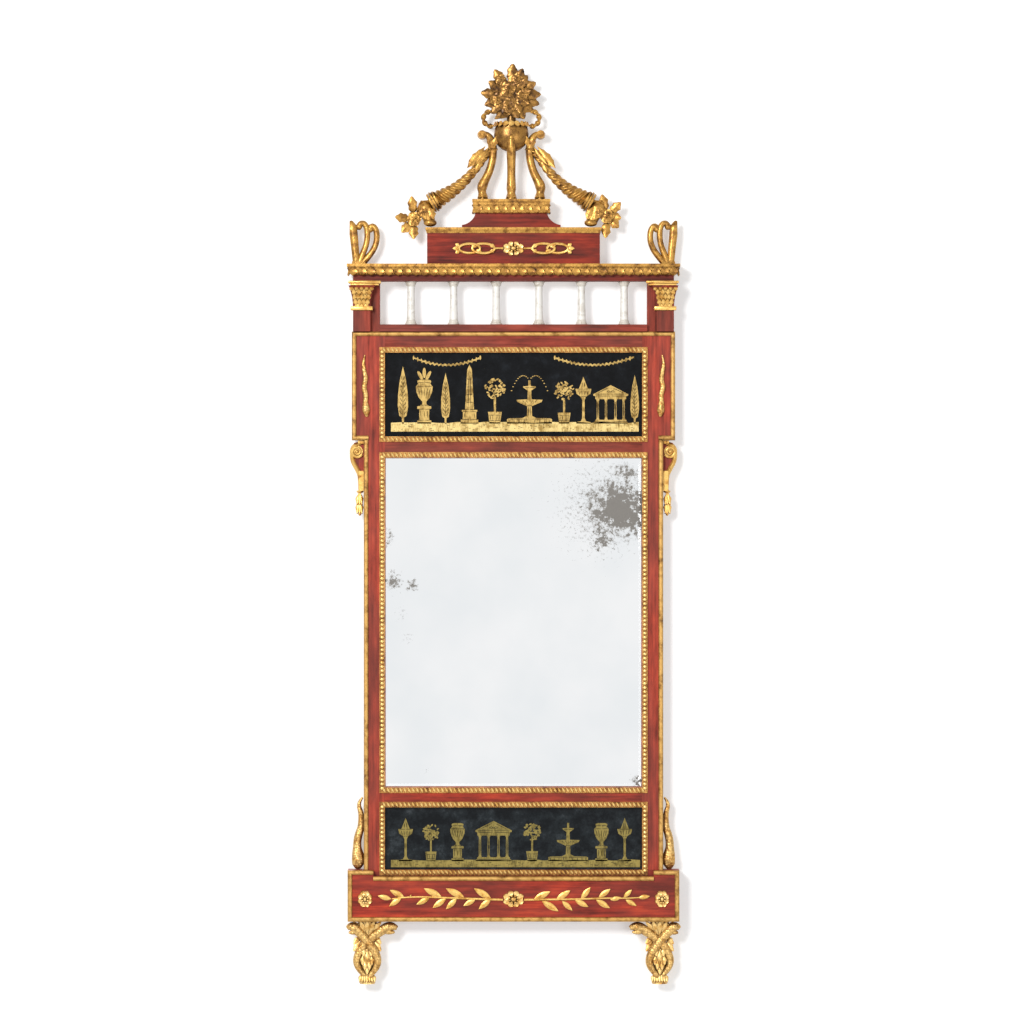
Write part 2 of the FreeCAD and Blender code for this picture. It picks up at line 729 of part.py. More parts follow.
def make_hangers():
    """A strap rolled round the bar of its ring, held by two round-head screws."""
    straps = []
    screws = []
    for side, word in ((-1, "left"), (1, "right")):
        middle = hanger_across * side
        half = S.strap_width / 2
        plate = block(
            f"{word}_plate",
            (middle - half, back, pivot_level - S.strap_length),
            (middle + half, back + S.strap_thickness, pivot_level),
        )
        start = (middle - half, pivot_depth, pivot_level)
        knuckle = rod(f"{word}_knuckle", knuckle_radius, S.strap_width, start, Vector(1, 0, 0))
        bore_radius = S.ring_wire_radius + S.ring_play
        waste = [rod(f"{word}_eye", bore_radius, S.strap_width, start, Vector(1, 0, 0))]
        for row, level in enumerate(SCREW_LEVELS):
            waste.append(screw_hole(f"{word}_strap_hole_{row}", side, level, S.joint_play))
            shank = screw_hole(f"{word}_screw_shank_{row}", side, level, as_size(0.0))
            head = doc.addObject("Part::Cone", f"{word}_screw_head_{row}")
            bind(head, Radius1=S.screw_head_radius, Radius2=S.screw_radius, Height=S.screw_radius)
            place(head, (middle, back + S.strap_thickness, level), Rotation(UP, Vector(0, 1, 0)))
            screws.append(fuse(f"{word}_screw_{row}", [shank, head]))
        straps.append(cut(f"{word}_strap", fuse(f"{word}_rolled", [plate, knuckle]), waste))
    return [group("hanger_straps", straps), group("hanger_screws", screws)]


def make_ring(name, side):
    """A D-shaped wire ring standing up from the bar that turns in its strap."""
    body = doc.addObject("PartDesign::Body", name)
    wide = S.ring_half_width
    bend = S.ring_bend
    route = [
        (0.0, 0.0),
        (wide - bend, 0.0),
        (wide, bend, bend, 1),
        (wide, S.ring_straight),
        (0.0, S.ring_straight + wide, wide, 1),
        (-wide, S.ring_straight, wide, 1),
        (-wide, bend),
        (-wide + bend, 0.0, bend, 1),
    ]
    path = add_sketch(body, "XZ_Plane", route)
    pipe = body.newObject("PartDesign::AdditivePipe", f"{name}_wire")
    plane = next(f for f in body.Origin.OriginFeatures if f.Role == "YZ_Plane")
    section = body.newObject("Sketcher::SketchObject", f"{name}_section")
    section.AttachmentSupport = [(plane, "")]
    section.MapMode = "FlatFace"
    section.addGeometry(Part.Circle(Vector(), UP, float(S.ring_wire_radius)), False)
    section.addConstraint(Sketcher.Constraint("Coincident", 0, 3, -1, 1))
    index = section.addConstraint(Sketcher.Constraint("Radius", 0, float(S.ring_wire_radius)))
    section.setExpression(f"Constraints[{index}]", S.ring_wire_radius.formula)
    pipe.Profile = section
    pipe.Spine = (path, [f"Edge{i + 1}" for i in range(len(route))])
    return place(body, (hanger_across * side, pivot_depth, pivot_level))


# Carcass.

# Rails by name: lower and upper edge, and which edges have a rebate behind them.
RAILS = {
    "top_rail": (upper_top, frame_top, True, False),
    "upper_cross_rail": (mirror_top, upper_bottom, True, True),
    "lower_cross_rail": (lower_top, mirror_bottom, True, True),
}
tenon_back = back - (S.frame_depth - S.lip_thickness) / 2 + S.tenon_thickness / 2


def rail_heart(name):
    """Lower and upper edge of the thick part of a rail, between its rebates."""
    low, high, rebate_below, rebate_above = RAILS[name]
    return (
        low + S.rebate_width if rebate_below else low,
        high - S.rebate_width if rebate_above else high,
    )


def tenon_box(name, rail, play):
    """A rail's tenons from end to end; with play it is the mortise in both stiles."""
    low, high = rail_heart(rail)
    reach = rebate_edge + S.tenon_length + play
    inset = S.tenon_inset - play
    return block(
        name,
        (-reach, tenon_back - S.tenon_thickness - play, low + inset),
        (reach, tenon_back + play, high - inset),
    )


def make_rail(name):
    """A rail with a lip in front of the glass, a thick heart in the rebates and a tenon at each end."""
    low, high, _, _ = RAILS[name]
    heart_low, heart_high = rail_heart(name)
    lip = block(f"{name}_lip", (-sight, front, low), (sight, glass_front, high))
    heart = block(f"{name}_heart", (-rebate_edge, glass_front, heart_low), (rebate_edge, back, heart_high))
    return fuse(name, [lip, heart, tenon_box(f"{name}_tenons", name, as_size(0.0))])


def foot_tenon(name, play):
    """The tenon of the left stile in the base block, or its mortise."""
    middle = -(rebate_edge + stile_outer) / 2
    half = S.foot_tenon_width / 2 + play
    return block(
        name,
        (middle - half, tenon_back - S.tenon_thickness - play, base_top - S.foot_tenon_length - play),
        (middle + half, tenon_back + play, base_top),
    )


def make_stiles():
    """Left stile: an L section with the rebate behind its sight edge, mortised for three rails."""
    section = [
        (-stile_outer, back),
        (-stile_outer, front),
        (-sight, front),
        (-sight, glass_front),
        (-rebate_edge, glass_front),
        (-rebate_edge, back),
    ]
    length = frame_top - base_top
    bar = padded("stile_bar", "XY_Plane", section, length, (0.0, 0.0, base_top))
    solid = fuse("stile_with_tenon", [bar, foot_tenon("stile_tenon", as_size(0.0))])
    waste = [tenon_box(f"{rail}_mortise", rail, S.joint_play) for rail in RAILS]
    waste.append(dowel_hole("stile_dowel_hole", -1, "post_foot"))
    for opening in NAIL_ROWS:
        for row, level in enumerate(nail_levels(opening)):
            foot = (-nail_across, back, level)
            depth = S.nail_length - S.board_thickness + S.joint_play
            waste.append(
                rod(f"pilot_{opening}_{row}", S.nail_radius + S.joint_play, depth, foot, FORWARD)
            )
    for row, level in enumerate(SCREW_LEVELS):
        waste.append(screw_hole(f"stile_screw_hole_{row}", -1, level, S.joint_play))
    left = cut("left_stile", solid, waste)
    return [left, mirrored("right_stile", left)]


def make_shoulders():
    left = block("left_shoulder", (-shoulder_outer, front, shoulder_bottom), (-stile_outer, back, frame_top))
    return [left, mirrored("right_shoulder", left)]


def make_base():
    """Base block: rebated for the lower glass, notched for its beading and mortised for the stiles."""
    half = S.base_width / 2
    board = block("base_plank", (-half, base_front, base_bottom), (half, back, base_top))
    left = foot_tenon("base_mortise", S.joint_play)
    rebate_low = base_top - S.rebate_width
    notch_low = base_top - S.beading_width
    ledge = S.ledge_width / 2
    waste = [
        block("base_rebate", (-rebate_edge, glass_front, rebate_low), (rebate_edge, back, base_top)),
        block("base_notch", (-ledge, base_front, notch_low), (ledge, front, base_top)),
        left,
        mirrored("base_mortise_right", left),
        dowel_hole("base_dowel_left", -1, "foot"),
        dowel_hole("base_dowel_right", 1, "foot"),
    ]
    return cut("base_block", board, waste)


def make_edgings():
    """Half-round gilt strips along the outer edges of frame, shoulders and base."""
    side_length = frame_top - shoulder_bottom
    shoulder_middle = shoulder_bottom + side_length / 2
    stile_length = shoulder_bottom - base_top
    stile_middle = base_top + stile_length / 2
    return_length = S.shoulder_width + S.edging_width
    strips = [edging("top_strip", shoulder_outer * 2, (1, 1), (0.0, front, frame_top), OUTER_EDGE["top"])]
    for word, sign in (("left", -1), ("right", 1)):
        turn = OUTER_EDGE[word]
        flat = (0, 1) if sign < 0 else (1, 0)
        at = (shoulder_outer * sign, front, shoulder_middle)
        strips.append(edging(f"{word}_shoulder_strip", side_length, (1, 1), at, turn))
        at = (stile_outer * sign, front, stile_middle)
        strips.append(edging(f"{word}_stile_strip", stile_length, (0, 0), at, turn))
        at = ((shoulder_outer - return_length / 2) * sign, front, shoulder_bottom)
        strips.append(edging(f"{word}_return_strip", return_length, flat[::-1], at, OUTER_EDGE["bottom"]))
    frame_edging = group("frame_edging", strips)

    half = S.base_width / 2
    base_middle = base_bottom + S.base_height / 2
    end_length = half - S.ledge_width / 2
    strips = [
        edging("base_low_strip", S.base_width, (1, 1), (0.0, base_front, base_bottom), OUTER_EDGE["bottom"]),
        edging(
            "ledge_strip",
            S.ledge_width,
            (0, 0),
            (0.0, base_front, base_top - S.beading_width),
            OUTER_EDGE["top"],
        ),
    ]
    for word, sign in (("left", -1), ("right", 1)):
        at = (half * sign, base_front, base_middle)
        strips.append(edging(f"{word}_base_strip", S.base_height, (1, 1), at, OUTER_EDGE[word]))
        at = ((half - end_length / 2) * sign, base_front, base_top)
        flat = (0, 1) if sign < 0 else (1, 0)
        strips.append(edging(f"{word}_base_top_strip", end_length, flat, at, OUTER_EDGE["top"]))
    return [frame_edging, group("base_edging", strips)]


# Glass and what holds it.


def glass_corners(bottom, top):
    grow = S.rebate_width - S.glass_play
    return (-sight - grow, bottom - grow), (sight + grow, top + grow)


def make_painted_glass(name, bottom, top):
    low, high = glass_corners(bottom, top)
    return block(name, (low[0], glass_front, low[1]), (high[0], glass_back, high[1]))


def make_mirror_plate():
    """Silvered plate: a flat slab whose front is ground to a shallow bevel all round."""
    low, high = glass_corners(mirror_bottom, mirror_top)
    slab = block("mirror_slab", (low[0], glass_front + S.bevel_drop, low[1]), (high[0], glass_back, high[1]))
    crown = doc.addObject("Part::Wedge", "mirror_crown")
    wide = high[0] - low[0]
    tall = high[1] - low[1]
    bind(crown, Xmin=0.0, Ymin=0.0, Zmin=0.0, Xmax=wide, Ymax=S.bevel_drop, Zmax=tall)
    bind(crown, X2min=S.bevel_width, Z2min=S.bevel_width)
    bind(crown, X2max=wide - S.bevel_width, Z2max=tall - S.bevel_width)
    place(crown, (low[0], glass_front + S.bevel_drop, high[1]), Rotation(Vector(1, 0, 0), 180))
    return fuse("mirror_plate", [slab, crown])


def make_glazing_blocks():
    """Softwood blocks glued in the rebates behind the glass, two or three to an edge."""
    inner = sight + S.block_play
    outer = rebate_edge - S.block_play
    half = S.block_length / 2
    blocks = []
    for opening, (bottom, top, count) in NAIL_ROWS.items():
        for row in range(count - 1):
            level = bottom + (top - bottom) * ((row + 1) / count)
            for side in (-1, 1):
                x_low, x_high = (inner, outer) if side > 0 else (-outer, -inner)
                name = f"{opening}_side_block_{row}_{side + 1}"
                blocks.append(block(name, (x_low, glass_back, level - half), (x_high, back, level + half)))
        for side in (-1, 1):
            x_middle = sight * (0.5 * side)
            low = bottom - S.rebate_width + S.block_play
            high = top + S.block_play
            for word, level in (("low", low), ("high", high)):
                thick = S.rebate_width - S.block_play * 2
                name = f"{opening}_{word}_block_{side + 1}"
                corner = (x_middle - half, glass_back, level)
                blocks.append(block(name, corner, (x_middle + half, back, level + thick)))
    return group("glazing_blocks", blocks)


# Gallery.

column_depth = back - S.post_setback - S.sill_depth / 2
COLUMN_SPOTS = [S.column_shift + S.column_pitch * (i - 2.5) for i in range(6)]


def make_sill():
    y_back = back - S.post_setback
    low = (-post_inner, y_back - S.sill_depth, frame_top)
    plank = block("sill_plank", low, (post_inner, y_back, sill_top))
    holes = []
    for i, across in enumerate(COLUMN_SPOTS):
        foot = (across, column_depth, sill_top - S.spigot_length - S.joint_play)
        length = S.spigot_length + S.joint_play
        holes.append(rod(f"sill_hole_{i}", S.spigot_radius + S.joint_play, length, foot, UP))
    return cut("gallery_sill", plank, holes)


def make_columns():
    """Six alabaster shafts, each between a turned base and a turned cap with spigots."""
    tall = S.column_block_height
    wide = S.column_block_radius
    torus = tall / 3
    zero = as_size(0.0)
    base_profile = [
        (zero, -S.spigot_length),
        (S.spigot_radius, -S.spigot_length),
        (S.spigot_radius, zero),
        (wide, zero),
        (wide, torus, torus, 1),
        (wide - torus / 2, torus),
        (wide - torus / 2, torus * 2, torus, 1),
        (S.shaft_foot_radius, tall),
        (zero, tall),
    ]
    shafts = []
    bases = []
    caps = []
    for i, across in enumerate(COLUMN_SPOTS):
        shaft = doc.addObject("Part::Cone", f"shaft_{i}")
        bind(shaft, Radius1=S.shaft_foot_radius, Radius2=S.shaft_neck_radius)
        bind(shaft, Height=S.column_height - tall * 2)
        shafts.append(place(shaft, (across, column_depth, sill_top + tall)))
        bases.append(turned(f"base_{i}", base_profile, (across, column_depth, sill_top)))
        cap = turned(f"cap_{i}", base_profile, (across, column_depth, entablature_bottom))
        caps.append(place(cap, (across, column_depth, entablature_bottom), Rotation(Vector(1, 0, 0), 180)))
    return [group("column_shafts", shafts), group("column_bases", bases), group("column_caps", caps)]


def make_posts():
    """End post of the gallery: a flat slab with a raised pilaster up to the capital."""
    y_back = back - S.post_setback
    slab = block("post_slab", (-post_outer, post_front, frame_top), (-post_inner, y_back, entablature_bottom))
    pilaster = block(
        "post_pilaster",
        (-post_outer, post_front - S.pilaster_rise, frame_top),
        (-post_outer + S.pilaster_width, post_front, entablature_bottom - S.capital_height),
    )
    holes = [dowel_hole(f"{joint}_hole", -1, joint) for joint in ("post_foot", "post_head")]
    left = cut("left_post", fuse("post_solid", [slab, pilaster]), holes)
    return [left, mirrored("right_post", left)]


def make_capitals():
    """Capital: a hollow-sided bell between a necking and an abacus, glued on the post's front."""
    middle = -post_outer + S.pilaster_width / 2
    foot = entablature_bottom - S.capital_height
    tall = S.capital_height - S.abacus_height
    narrow = S.pilaster_width / 2
    spread = S.capital_spread / 2
    zero = as_size(0.0)
    front_view = [
        (-narrow, zero, S.capital_flare, -1),
        (narrow, zero),
        (spread, tall, S.capital_flare, -1),
        (-spread, tall),
    ]
    side_view = [
        (zero, zero),
        (zero, tall),
        (-S.capital_rise, tall),
        (-S.pilaster_rise, zero, S.capital_flare, -1),
    ]
    at = (middle, post_front, foot)
    face = padded("capital_face", "XZ_Plane", front_view, S.capital_rise, at)
    side_at = (middle - spread, post_front, foot)
    side = padded("capital_side", "YZ_Plane", side_view, S.capital_spread, side_at)
    bell = doc.addObject("Part::Common", "capital_bell")
    bell.Base = face
    bell.Tool = side
    abacus_half = S.abacus_width / 2
    abacus_middle = -post_outer + S.post_width / 2
    abacus = block(
        "capital_abacus",
        (abacus_middle - abacus_half, post_front - S.abacus_rise, entablature_bottom - S.abacus_height),
        (abacus_middle + abacus_half, post_front, entablature_bottom),
    )
    ring = block(
        "capital_necking",
        (middle - narrow - S.edging_rise, post_front - S.necking_rise, foot),
        (middle + narrow + S.edging_rise, post_front, foot + S.necking_height),
    )
    left = fuse("left_capital", [bell, abacus, ring])
    return group("post_capitals", [left, mirrored("right_capital", left)])


def make_entablature():
    y_front = back - S.entablature_depth
    plank = block(
        "entablature_plank",
        (-entablature_half, y_front, entablature_bottom),
        (entablature_half, back, entablature_top),
    )
    holes = []
    for side in (-1, 1):
        holes.append(dowel_hole(f"entablature_post_{side + 1}", side, "post_head"))
        holes.append(dowel_hole(f"entablature_attic_{side + 1}", side, "attic"))
    for i, across in enumerate(COLUMN_SPOTS):
        foot = (across, column_depth, entablature_bottom)
        length = S.spigot_length + S.joint_play
        holes.append(rod(f"entablature_hole_{i}", S.spigot_radius + S.joint_play, length, foot, UP))
    return cut("entablature", plank, holes)


def make_cornice():
    """Cornice: a small ovolo, a hollow and a fillet, mitred round the entablature."""
    tall = S.cornice_height
    out = S.cornice_projection
    zero = as_size(0.0)
    profile = [
        (zero, zero),
        (zero, tall),
        (out, tall),
        (out, tall * 0.72),
        (out * 0.75, tall * 0.66),
        (out * 0.25, tall * 0.12, tall * 0.62, -1),
        (out * 0.25, zero),
    ]
    return moulding(
        "cornice_moulding", entablature_half, S.entablature_depth, profile, (0.0, back, cornice_bottom)
    )


# Attic and crest plinth.


def make_attic():
    half = S.attic_width / 2
    plank = block("attic_plank", (-half, attic_front, entablature_top), (half, back, attic_top))
    holes = []
    for side in (-1, 1):
        holes.append(dowel_hole(f"attic_low_{side + 1}", side, "attic"))
        holes.append(dowel_hole(f"attic_high_{side + 1}", side, "plinth"))
    tall = S.attic_moulding_height
    out = S.attic_moulding_projection
    zero = as_size(0.0)
    profile = [
        (zero, zero),
        (zero, tall),
        (out, tall),
        (out, tall * 0.6),
        (out * 0.4, zero, tall, 1),
    ]
    strip = moulding("attic_moulding", half, S.attic_depth, profile, (0.0, back, attic_top - tall))
    return [cut("attic_block", plank, holes), strip]


def make_plinth():
    """Crest plinth with hollow ends, and the carved moulding mitred round its top."""
    wide = S.plinth_foot_width / 2
    narrow = S.plinth_width / 2
    foot = S.edging_rise
    neck = S.plinth_height - S.plinth_moulding_height
    tall = S.plinth_height
    zero = as_size(0.0)
    outline = [
        (-wide, zero),
        (wide, zero),
        (wide, foot),
        (narrow, neck, S.plinth_hollow, -1),
        (narrow, tall),
        (-narrow, tall),
        (-narrow, neck),
        (-wide, foot, S.plinth_hollow, -1),
    ]
    body = padded("plinth_body", "XZ_Plane", outline, S.plinth_depth, (crest_middle, back, attic_top))
    holes = [dowel_hole(f"plinth_hole_{side + 1}", side, "plinth") for side in (-1, 1)]
    high = S.plinth_moulding_height
    out = S.plinth_moulding_projection
    profile = [
        (zero, zero),
        (zero, high),
        (out, high),
        (out, high * 0.82),
        (out * 0.8, high * 0.76),
        (out * 0.4, high * 0.3, high * 0.6, -1),
        (out * 0.6, high * 0.26),
        (out * 0.6, zero, high * 0.15, -1),
    ]
    at = (crest_middle, back, plinth_top - high)
    strip = moulding("plinth_moulding", narrow, S.plinth_depth, profile, at)
    return [cut("crest_plinth", body, holes), strip]


# Crest: tripod, bowl, bouquet and cornucopias, all from one point on the plinth's top.

crest_depth = back - S.plinth_depth / 2
CREST = (crest_middle, crest_depth, plinth_top)
bowl_foot = float(S.leg_height) - float(S.bowl_height) * 0.55
bowl_top = bowl_foot + float(S.bowl_height)


# Height and width of the bowl from its foot to its rim, as shares.
BOWL_PROFILE = ((0.0, 0.3), (0.12, 0.66), (0.32, 0.92), (0.55, 1.0), (0.8, 0.95), (1.0, 0.88))


def bowl_shape(play):
    """The bowl, wider by play: round in front view, flattened towards the wall."""
    rings = []
    for share, width in BOWL_PROFILE:
        spot = Vector(0, 0, bowl_foot + share * float(S.bowl_height))
        reach = width * float(S.bowl_radius) + play
        rings.append(oval_ring(spot, reach, reach * float(S.bowl_flatness)))
    return skin(rings)


# Line and thickness of a side leg, from its hoof to its scroll, as shares of spread and height.
SIDE_LEG = (
    ((1.0, 0.0), 1.2),
    ((0.95, 0.09), 0.72),
    ((0.86, 0.3), 0.72),
    ((0.75, 0.54), 0.9),
    ((0.66, 0.82), 1.0),
    ((0.7, 0.95), 0.85),
    ((0.86, 1.04), 0.72),
    ((1.02, 1.01), 0.72),
)
KNEE = 6


def side_leg_shape(play):
    line = trail([spot for spot, _ in SIDE_LEG], -S.leg_spread, S.leg_height)
    radii = [share * float(S.leg_radius) + play for _, share in SIDE_LEG]
    thick = float(S.leg_radius) * 2 + 2 * play
    scroll_back = line[-1] - FORWARD * thick / 2
    scroll = Part.makeCylinder(float(S.volute_radius) + play, thick, scroll_back, FORWARD)
    return joined([limb(line, radii), scroll])


# The front leg, from its hoof up: share of the bowl's radius forward, of the height, and thickness.
FRONT_LEG = (
    (0.0, 0.0, 1.2),
    (0.02, 0.1, 0.72),
    (0.06, 0.35, 0.8),
    (0.2, 0.68, 1.0),
    (0.36, 0.9, 0.8),
)


def front_leg_shape():
    stand_off = -float(S.plinth_depth) / 2 + float(S.front_leg_radius)
    rings = []
    for ahead, up, thickness in FRONT_LEG:
        spot = Vector(0, stand_off - ahead * float(S.bowl_radius), up * float(S.leg_height))
        radius = thickness * float(S.front_leg_radius)
        rings.append(oval_ring(spot, radius, radius))
    return skin(rings)


def make_tripod():
    """Three hoofed legs round a bowl, with a rope ring over each side scroll."""
    hollow = bowl_shape(float(S.crest_play))
    leg = carved("left_leg", above(side_leg_shape(0.0).cut(hollow), 0.0), CREST)
    front_leg = carved("front_leg", above(front_leg_shape().cut(hollow), 0.0), CREST)
    bowl = carved("bowl", ahead_of(bowl_shape(0.0), float(back) - float(crest_depth)), CREST)
    left_ring = carved("left_rope_ring", rope_ring().cut(side_leg_shape(0.0)), CREST)
    rings = group("rope_rings", [left_ring, mirrored("right_rope_ring", left_ring, crest_middle)])
    side_legs = group("side_legs", [leg, mirrored("right_leg", leg, crest_middle)])
    return [side_legs, front_leg, bowl, rings]


# Turns of a rope ring that is open beside the bowl: first and last, in degrees from the middle.
ROPE_START = 20
ROPE_END = 310
ROPE_POINTS = 9


def rope_ring():
    """An upright, open oval of rope that stands on the leg's knee."""
    wide = float(S.rope_ring_width) / 2 - float(S.rope_radius)
    tall = float(S.rope_ring_height) / 2 - float(S.rope_radius)
    (out, up), thickness = SIDE_LEG[KNEE]
    foot = up * float(S.leg_height) + thickness * float(S.leg_radius) - float(S.rope_radius)
    centre = Vector(-out * float(S.leg_spread), 0, foot + float(S.rope_ring_height) / 2)
    line = []
    for k in range(ROPE_POINTS):
        angle = math.radians(ROPE_START + (ROPE_END - ROPE_START) * k / (ROPE_POINTS - 1))
        line.append(centre + Vector(wide * math.cos(angle), 0, tall * math.sin(angle)))
    return limb(line, [float(S.rope_radius)] * ROPE_POINTS, rings=ROPE_POINTS * 2)


# Leaves of the bouquet: direction in degrees and share of the reach.
BOUQUET_LEAVES = (
    (-35, 0.93),
    (2, 1.0),
    (27, 0.95),
    (48, 0.87),
    (66, 0.98),
    (86, 1.09),
    (121, 0.99),
    (147, 0.86),
    (175, 1.0),
    (202, 0.89),
)


def leaf_fan(centre, leaves, reach, root_share):
    """Leaves round a middle point, each from root_share of its reach to its tip."""
    fan = []
    for degrees, share in leaves:
        angle = math.radians(degrees)
        way = Vector(math.cos(angle), 0, math.sin(angle)) * (reach * share)
        root = centre + way * root_share
        fan.append(leaf(root, centre + way, S.leaf_half_width, S.leaf_thickness, S.leaf_bow))
    return fan


def make_bouquet():
    """Roses in a fan of leaves, on a short stem that stands on the bowl."""
    middle = Vector(0, 0, bowl_top + float(S.bouquet_rise))
    rose = float(S.rose_radius)
    shapes = [ball(middle + Vector(0, -rose / 3, 0), rose * 1.2)]
    for k in range(6):
        angle = math.pi * k / 3 + math.pi / 6
        shapes.append(ball(middle + Vector(math.cos(angle), 0, math.sin(angle)) * rose * 1.5, rose))
    shapes.append(Part.makeCone(rose * 0.8, rose * 1.4, float(S.bouquet_rise) - rose, Vector(0, 0, bowl_top)))
    shapes += leaf_fan(middle, BOUQUET_LEAVES, float(S.bouquet_reach), root_share=0.36)
    return carved("bouquet", joined(shapes), CREST)


# A cornucopia from its tip to its mouth: shares of the way across and down, and thickness.
HORN_LINE = (
    ((0.0, 0.0), 0.45),
    ((0.14, 0.17), 0.5),
    ((0.28, 0.35), 0.58),
    ((0.42, 0.54), 0.66),
    ((0.57, 0.71), 0.76),
    ((0.72, 0.83), 0.86),
    ((0.87, 0.93), 0.95),
    ((1.0, 1.0), 1.0),
)


def horn_ends():
    """Where a cornucopia leaves the leg and where its mouth is, from the crest's point."""
    start = Vector(-float(S.leg_spread) * 0.8, 0, float(S.leg_height) * 0.82)
    across = float(S.attic_width / 2 - S.horn_mouth_inset)
    mouth = Vector(-across, 0, float(S.horn_mouth_rise) - float(S.plinth_height))
    return start, mouth


def horn_shape():
    start, mouth = horn_ends()
    span = mouth - start
    line = [start + Vector(u * span.x, 0, v * span.z) for (u, v), _ in HORN_LINE]
    radii = [share * float(S.horn_radius) for _, share in HORN_LINE]
    horn = limb(line, radii, sides=24, rings=9, flutes=6, flute_depth=0.1, twist=0.45)
    heading = (line[-1] - line[-2]).normalize()
    wide = float(S.collar_width)
    collar = Part.makeCylinder(float(S.collar_radius), wide, mouth - heading * wide * 0.8, heading)
    return joined([horn, collar])


# Horn leaves: direction in degrees and share of the reach.
HORN_LEAVES = ((97, 1.12), (140, 0.8), (172, 0.97), (205, 0.85), (235, 0.95), (270, 1.0))


def stalk(start, end, radius):
    way = end - start
    return Part.makeCylinder(radius, way.Length, start, way)


def horn_flowers_shape():
    """Flowers that spill from the horn's mouth over the attic's end, with a bud resting on the attic."""
    _, mouth = horn_ends()
    ground = -float(S.plinth_height)
    rose = float(S.rose_radius)
    bud = rose * 0.7
    across = float(S.attic_width / 2 + S.horn_flower_overhang)
    large = Vector(-across, 0, ground + float(S.horn_flower_rise))
    small = large + Vector(rose * 1.45, 0, rose * 1.5)
    spill = mouth + (small - mouth) * 0.35
    rest = Vector(large.x + rose * 2.5, 0, ground + bud * 0.85)
    shapes = [
        ball(large, rose * 1.35),
        ball(small, rose * 1.1),
        ball(spill, rose),
        ball(rest, bud),
        stalk(small, rest, bud / 2),
        leaf(small, rest + Vector(rose * 1.3, 0, 0), S.leaf_half_width, S.leaf_thickness),
    ]
    shapes += leaf_fan(large, HORN_LEAVES, float(S.horn_leaf_reach), root_share=0.3)
    attic_end = -float(S.attic_width / 2 + S.attic_moulding_projection) - float(crest_middle)
    attic = Part.makeBox(FAR, FAR, FAR, Vector(attic_end, -FAR / 2, ground - FAR))
    return joined(shapes).cut(attic)


def make_cornucopias():
    """Spiral horns that leave the tripod's legs, with their flowers."""
    horn = horn_shape()
    horn_piece = carved("left_cornucopia", horn.cut(side_leg_shape(float(S.crest_play))), CREST)
    flowers = carved("left_horn_flowers", horn_flowers_shape().cut(horn), CREST)
    return [
        horn_piece,
        mirrored("right_cornucopia", horn_piece, crest_middle),
        flowers,
        mirrored("right_horn_flowers", flowers, crest_middle),
    ]


# Lyre finials: a straight blade and two bars that curl over into balls.
LYRE_BLADE = ((-0.17, 0.0), (-0.24, 0.35), (-0.32, 0.7), (-0.4, 1.0))
LYRE_BARS = (
    ((0.02, 0.0), (0.22, 0.26), (0.46, 0.55), (0.43, 0.85), (0.18, 0.98), (0.0, 0.92), (0.05, 0.84)),
    ((0.16, 0.0), (0.62, 0.2), (0.95, 0.45), (1.0, 0.72), (0.84, 0.9), (0.68, 0.9), (0.66, 0.82)),
)


def make_lyres():
    wide = float(S.lyre_reach)
    tall = float(S.lyre_height)
    bar = float(S.lyre_bar_radius)
    shapes = [limb(trail(LYRE_BLADE, wide, tall), [bar * k for k in (1.3, 1.5, 1.4, 0.3)], 0.8)]
    for line in LYRE_BARS:
        spots = trail(line, wide, tall)
        shapes.append(limb(spots, [bar * k for k in (1.2, 1.0, 0.95, 0.9, 0.85, 0.8, 0.7)]))
        shapes.append(ball(spots[-1], bar * 1.25))
    root = Part.makeBox(wide * 0.62, bar * 3, bar * 1.6, Vector(-wide * 0.34, -bar * 1.5, 0))
    at = (-entablature_half - S.cornice_projection + S.lyre_inset, dowel_depth, entablature_top)
    left = carved("left_lyre", above(joined([root] + shapes), 0.0), at)
    return group("lyre_finials", [left, mirrored("right_lyre", left)])


# Applied ornament of attic, base and sides.


# Section of a rosette from its rim to its boss: share of the width and of the rise, and petal depth.
ROSETTE_SECTION = (
    (0.86, 0.0, 0.16),
    (0.86, 0.3, 0.16),
    (0.7, 0.62, 0.12),
    (0.48, 0.55, 0.06),
    (0.36, 0.6, 0.0),
    (0.28, 0.92, 0.0),
    (0.08, 1.0, 0.0),
)
PETALS = 10
POINTS_PER_PETAL = 4


def rosette_shape(width, height):
    """An oval rosette: ten round-ended petals dished round a boss, flat behind."""
    rings = []
    for share, rise, depth in ROSETTE_SECTION:
        ring = []
        for k in range(PETALS * POINTS_PER_PETAL):
            angle = 2 * math.pi * k / (PETALS * POINTS_PER_PETAL)
            reach = share * (1 + depth * math.cos(PETALS * angle))
            across = float(width) / 2 * reach * math.cos(angle)
            up = float(height) / 2 * reach * math.sin(angle)
            ring.append(Vector(across, -rise * float(S.rosette_rise), up))
        rings.append(ring)
    return facets(rings)


def make_rosettes():
    half = S.base_width / 2 - S.end_rosette_inset
    base_middle = base_bottom + (S.base_height - S.beading_width) / 2
    attic_middle = entablature_top + (S.attic_height - S.attic_moulding_height) / 2
    end = rosette_shape(S.end_rosette_width, S.end_rosette_height)
    left = carved("left_end_rosette", end, (-half, base_front, base_middle))
    attic = rosette_shape(S.rosette_width, S.attic_rosette_height)
    base = rosette_shape(S.rosette_width, S.base_rosette_height)
    return [
        carved("attic_rosette", attic, (0.0, attic_front, attic_middle)),
        carved("base_rosette", base, (0.0, base_front, base_middle)),
        group("base_end_rosettes", [left, mirrored("right_end_rosette", left)]),
    ]


def oval_band(centre, wide, tall, band, thick):
    """A flat pierced oval."""
    rims = []
    for inset in (0.0, band):
        oval = Part.Ellipse(centre + Vector(wide - inset, 0, 0), centre + Vector(0, 0, tall - inset), centre)
        rims.append(Part.Face(Part.Wire([oval.toShape()])).extrude(FORWARD * thick))
    return rims[0].cut(rims[1])


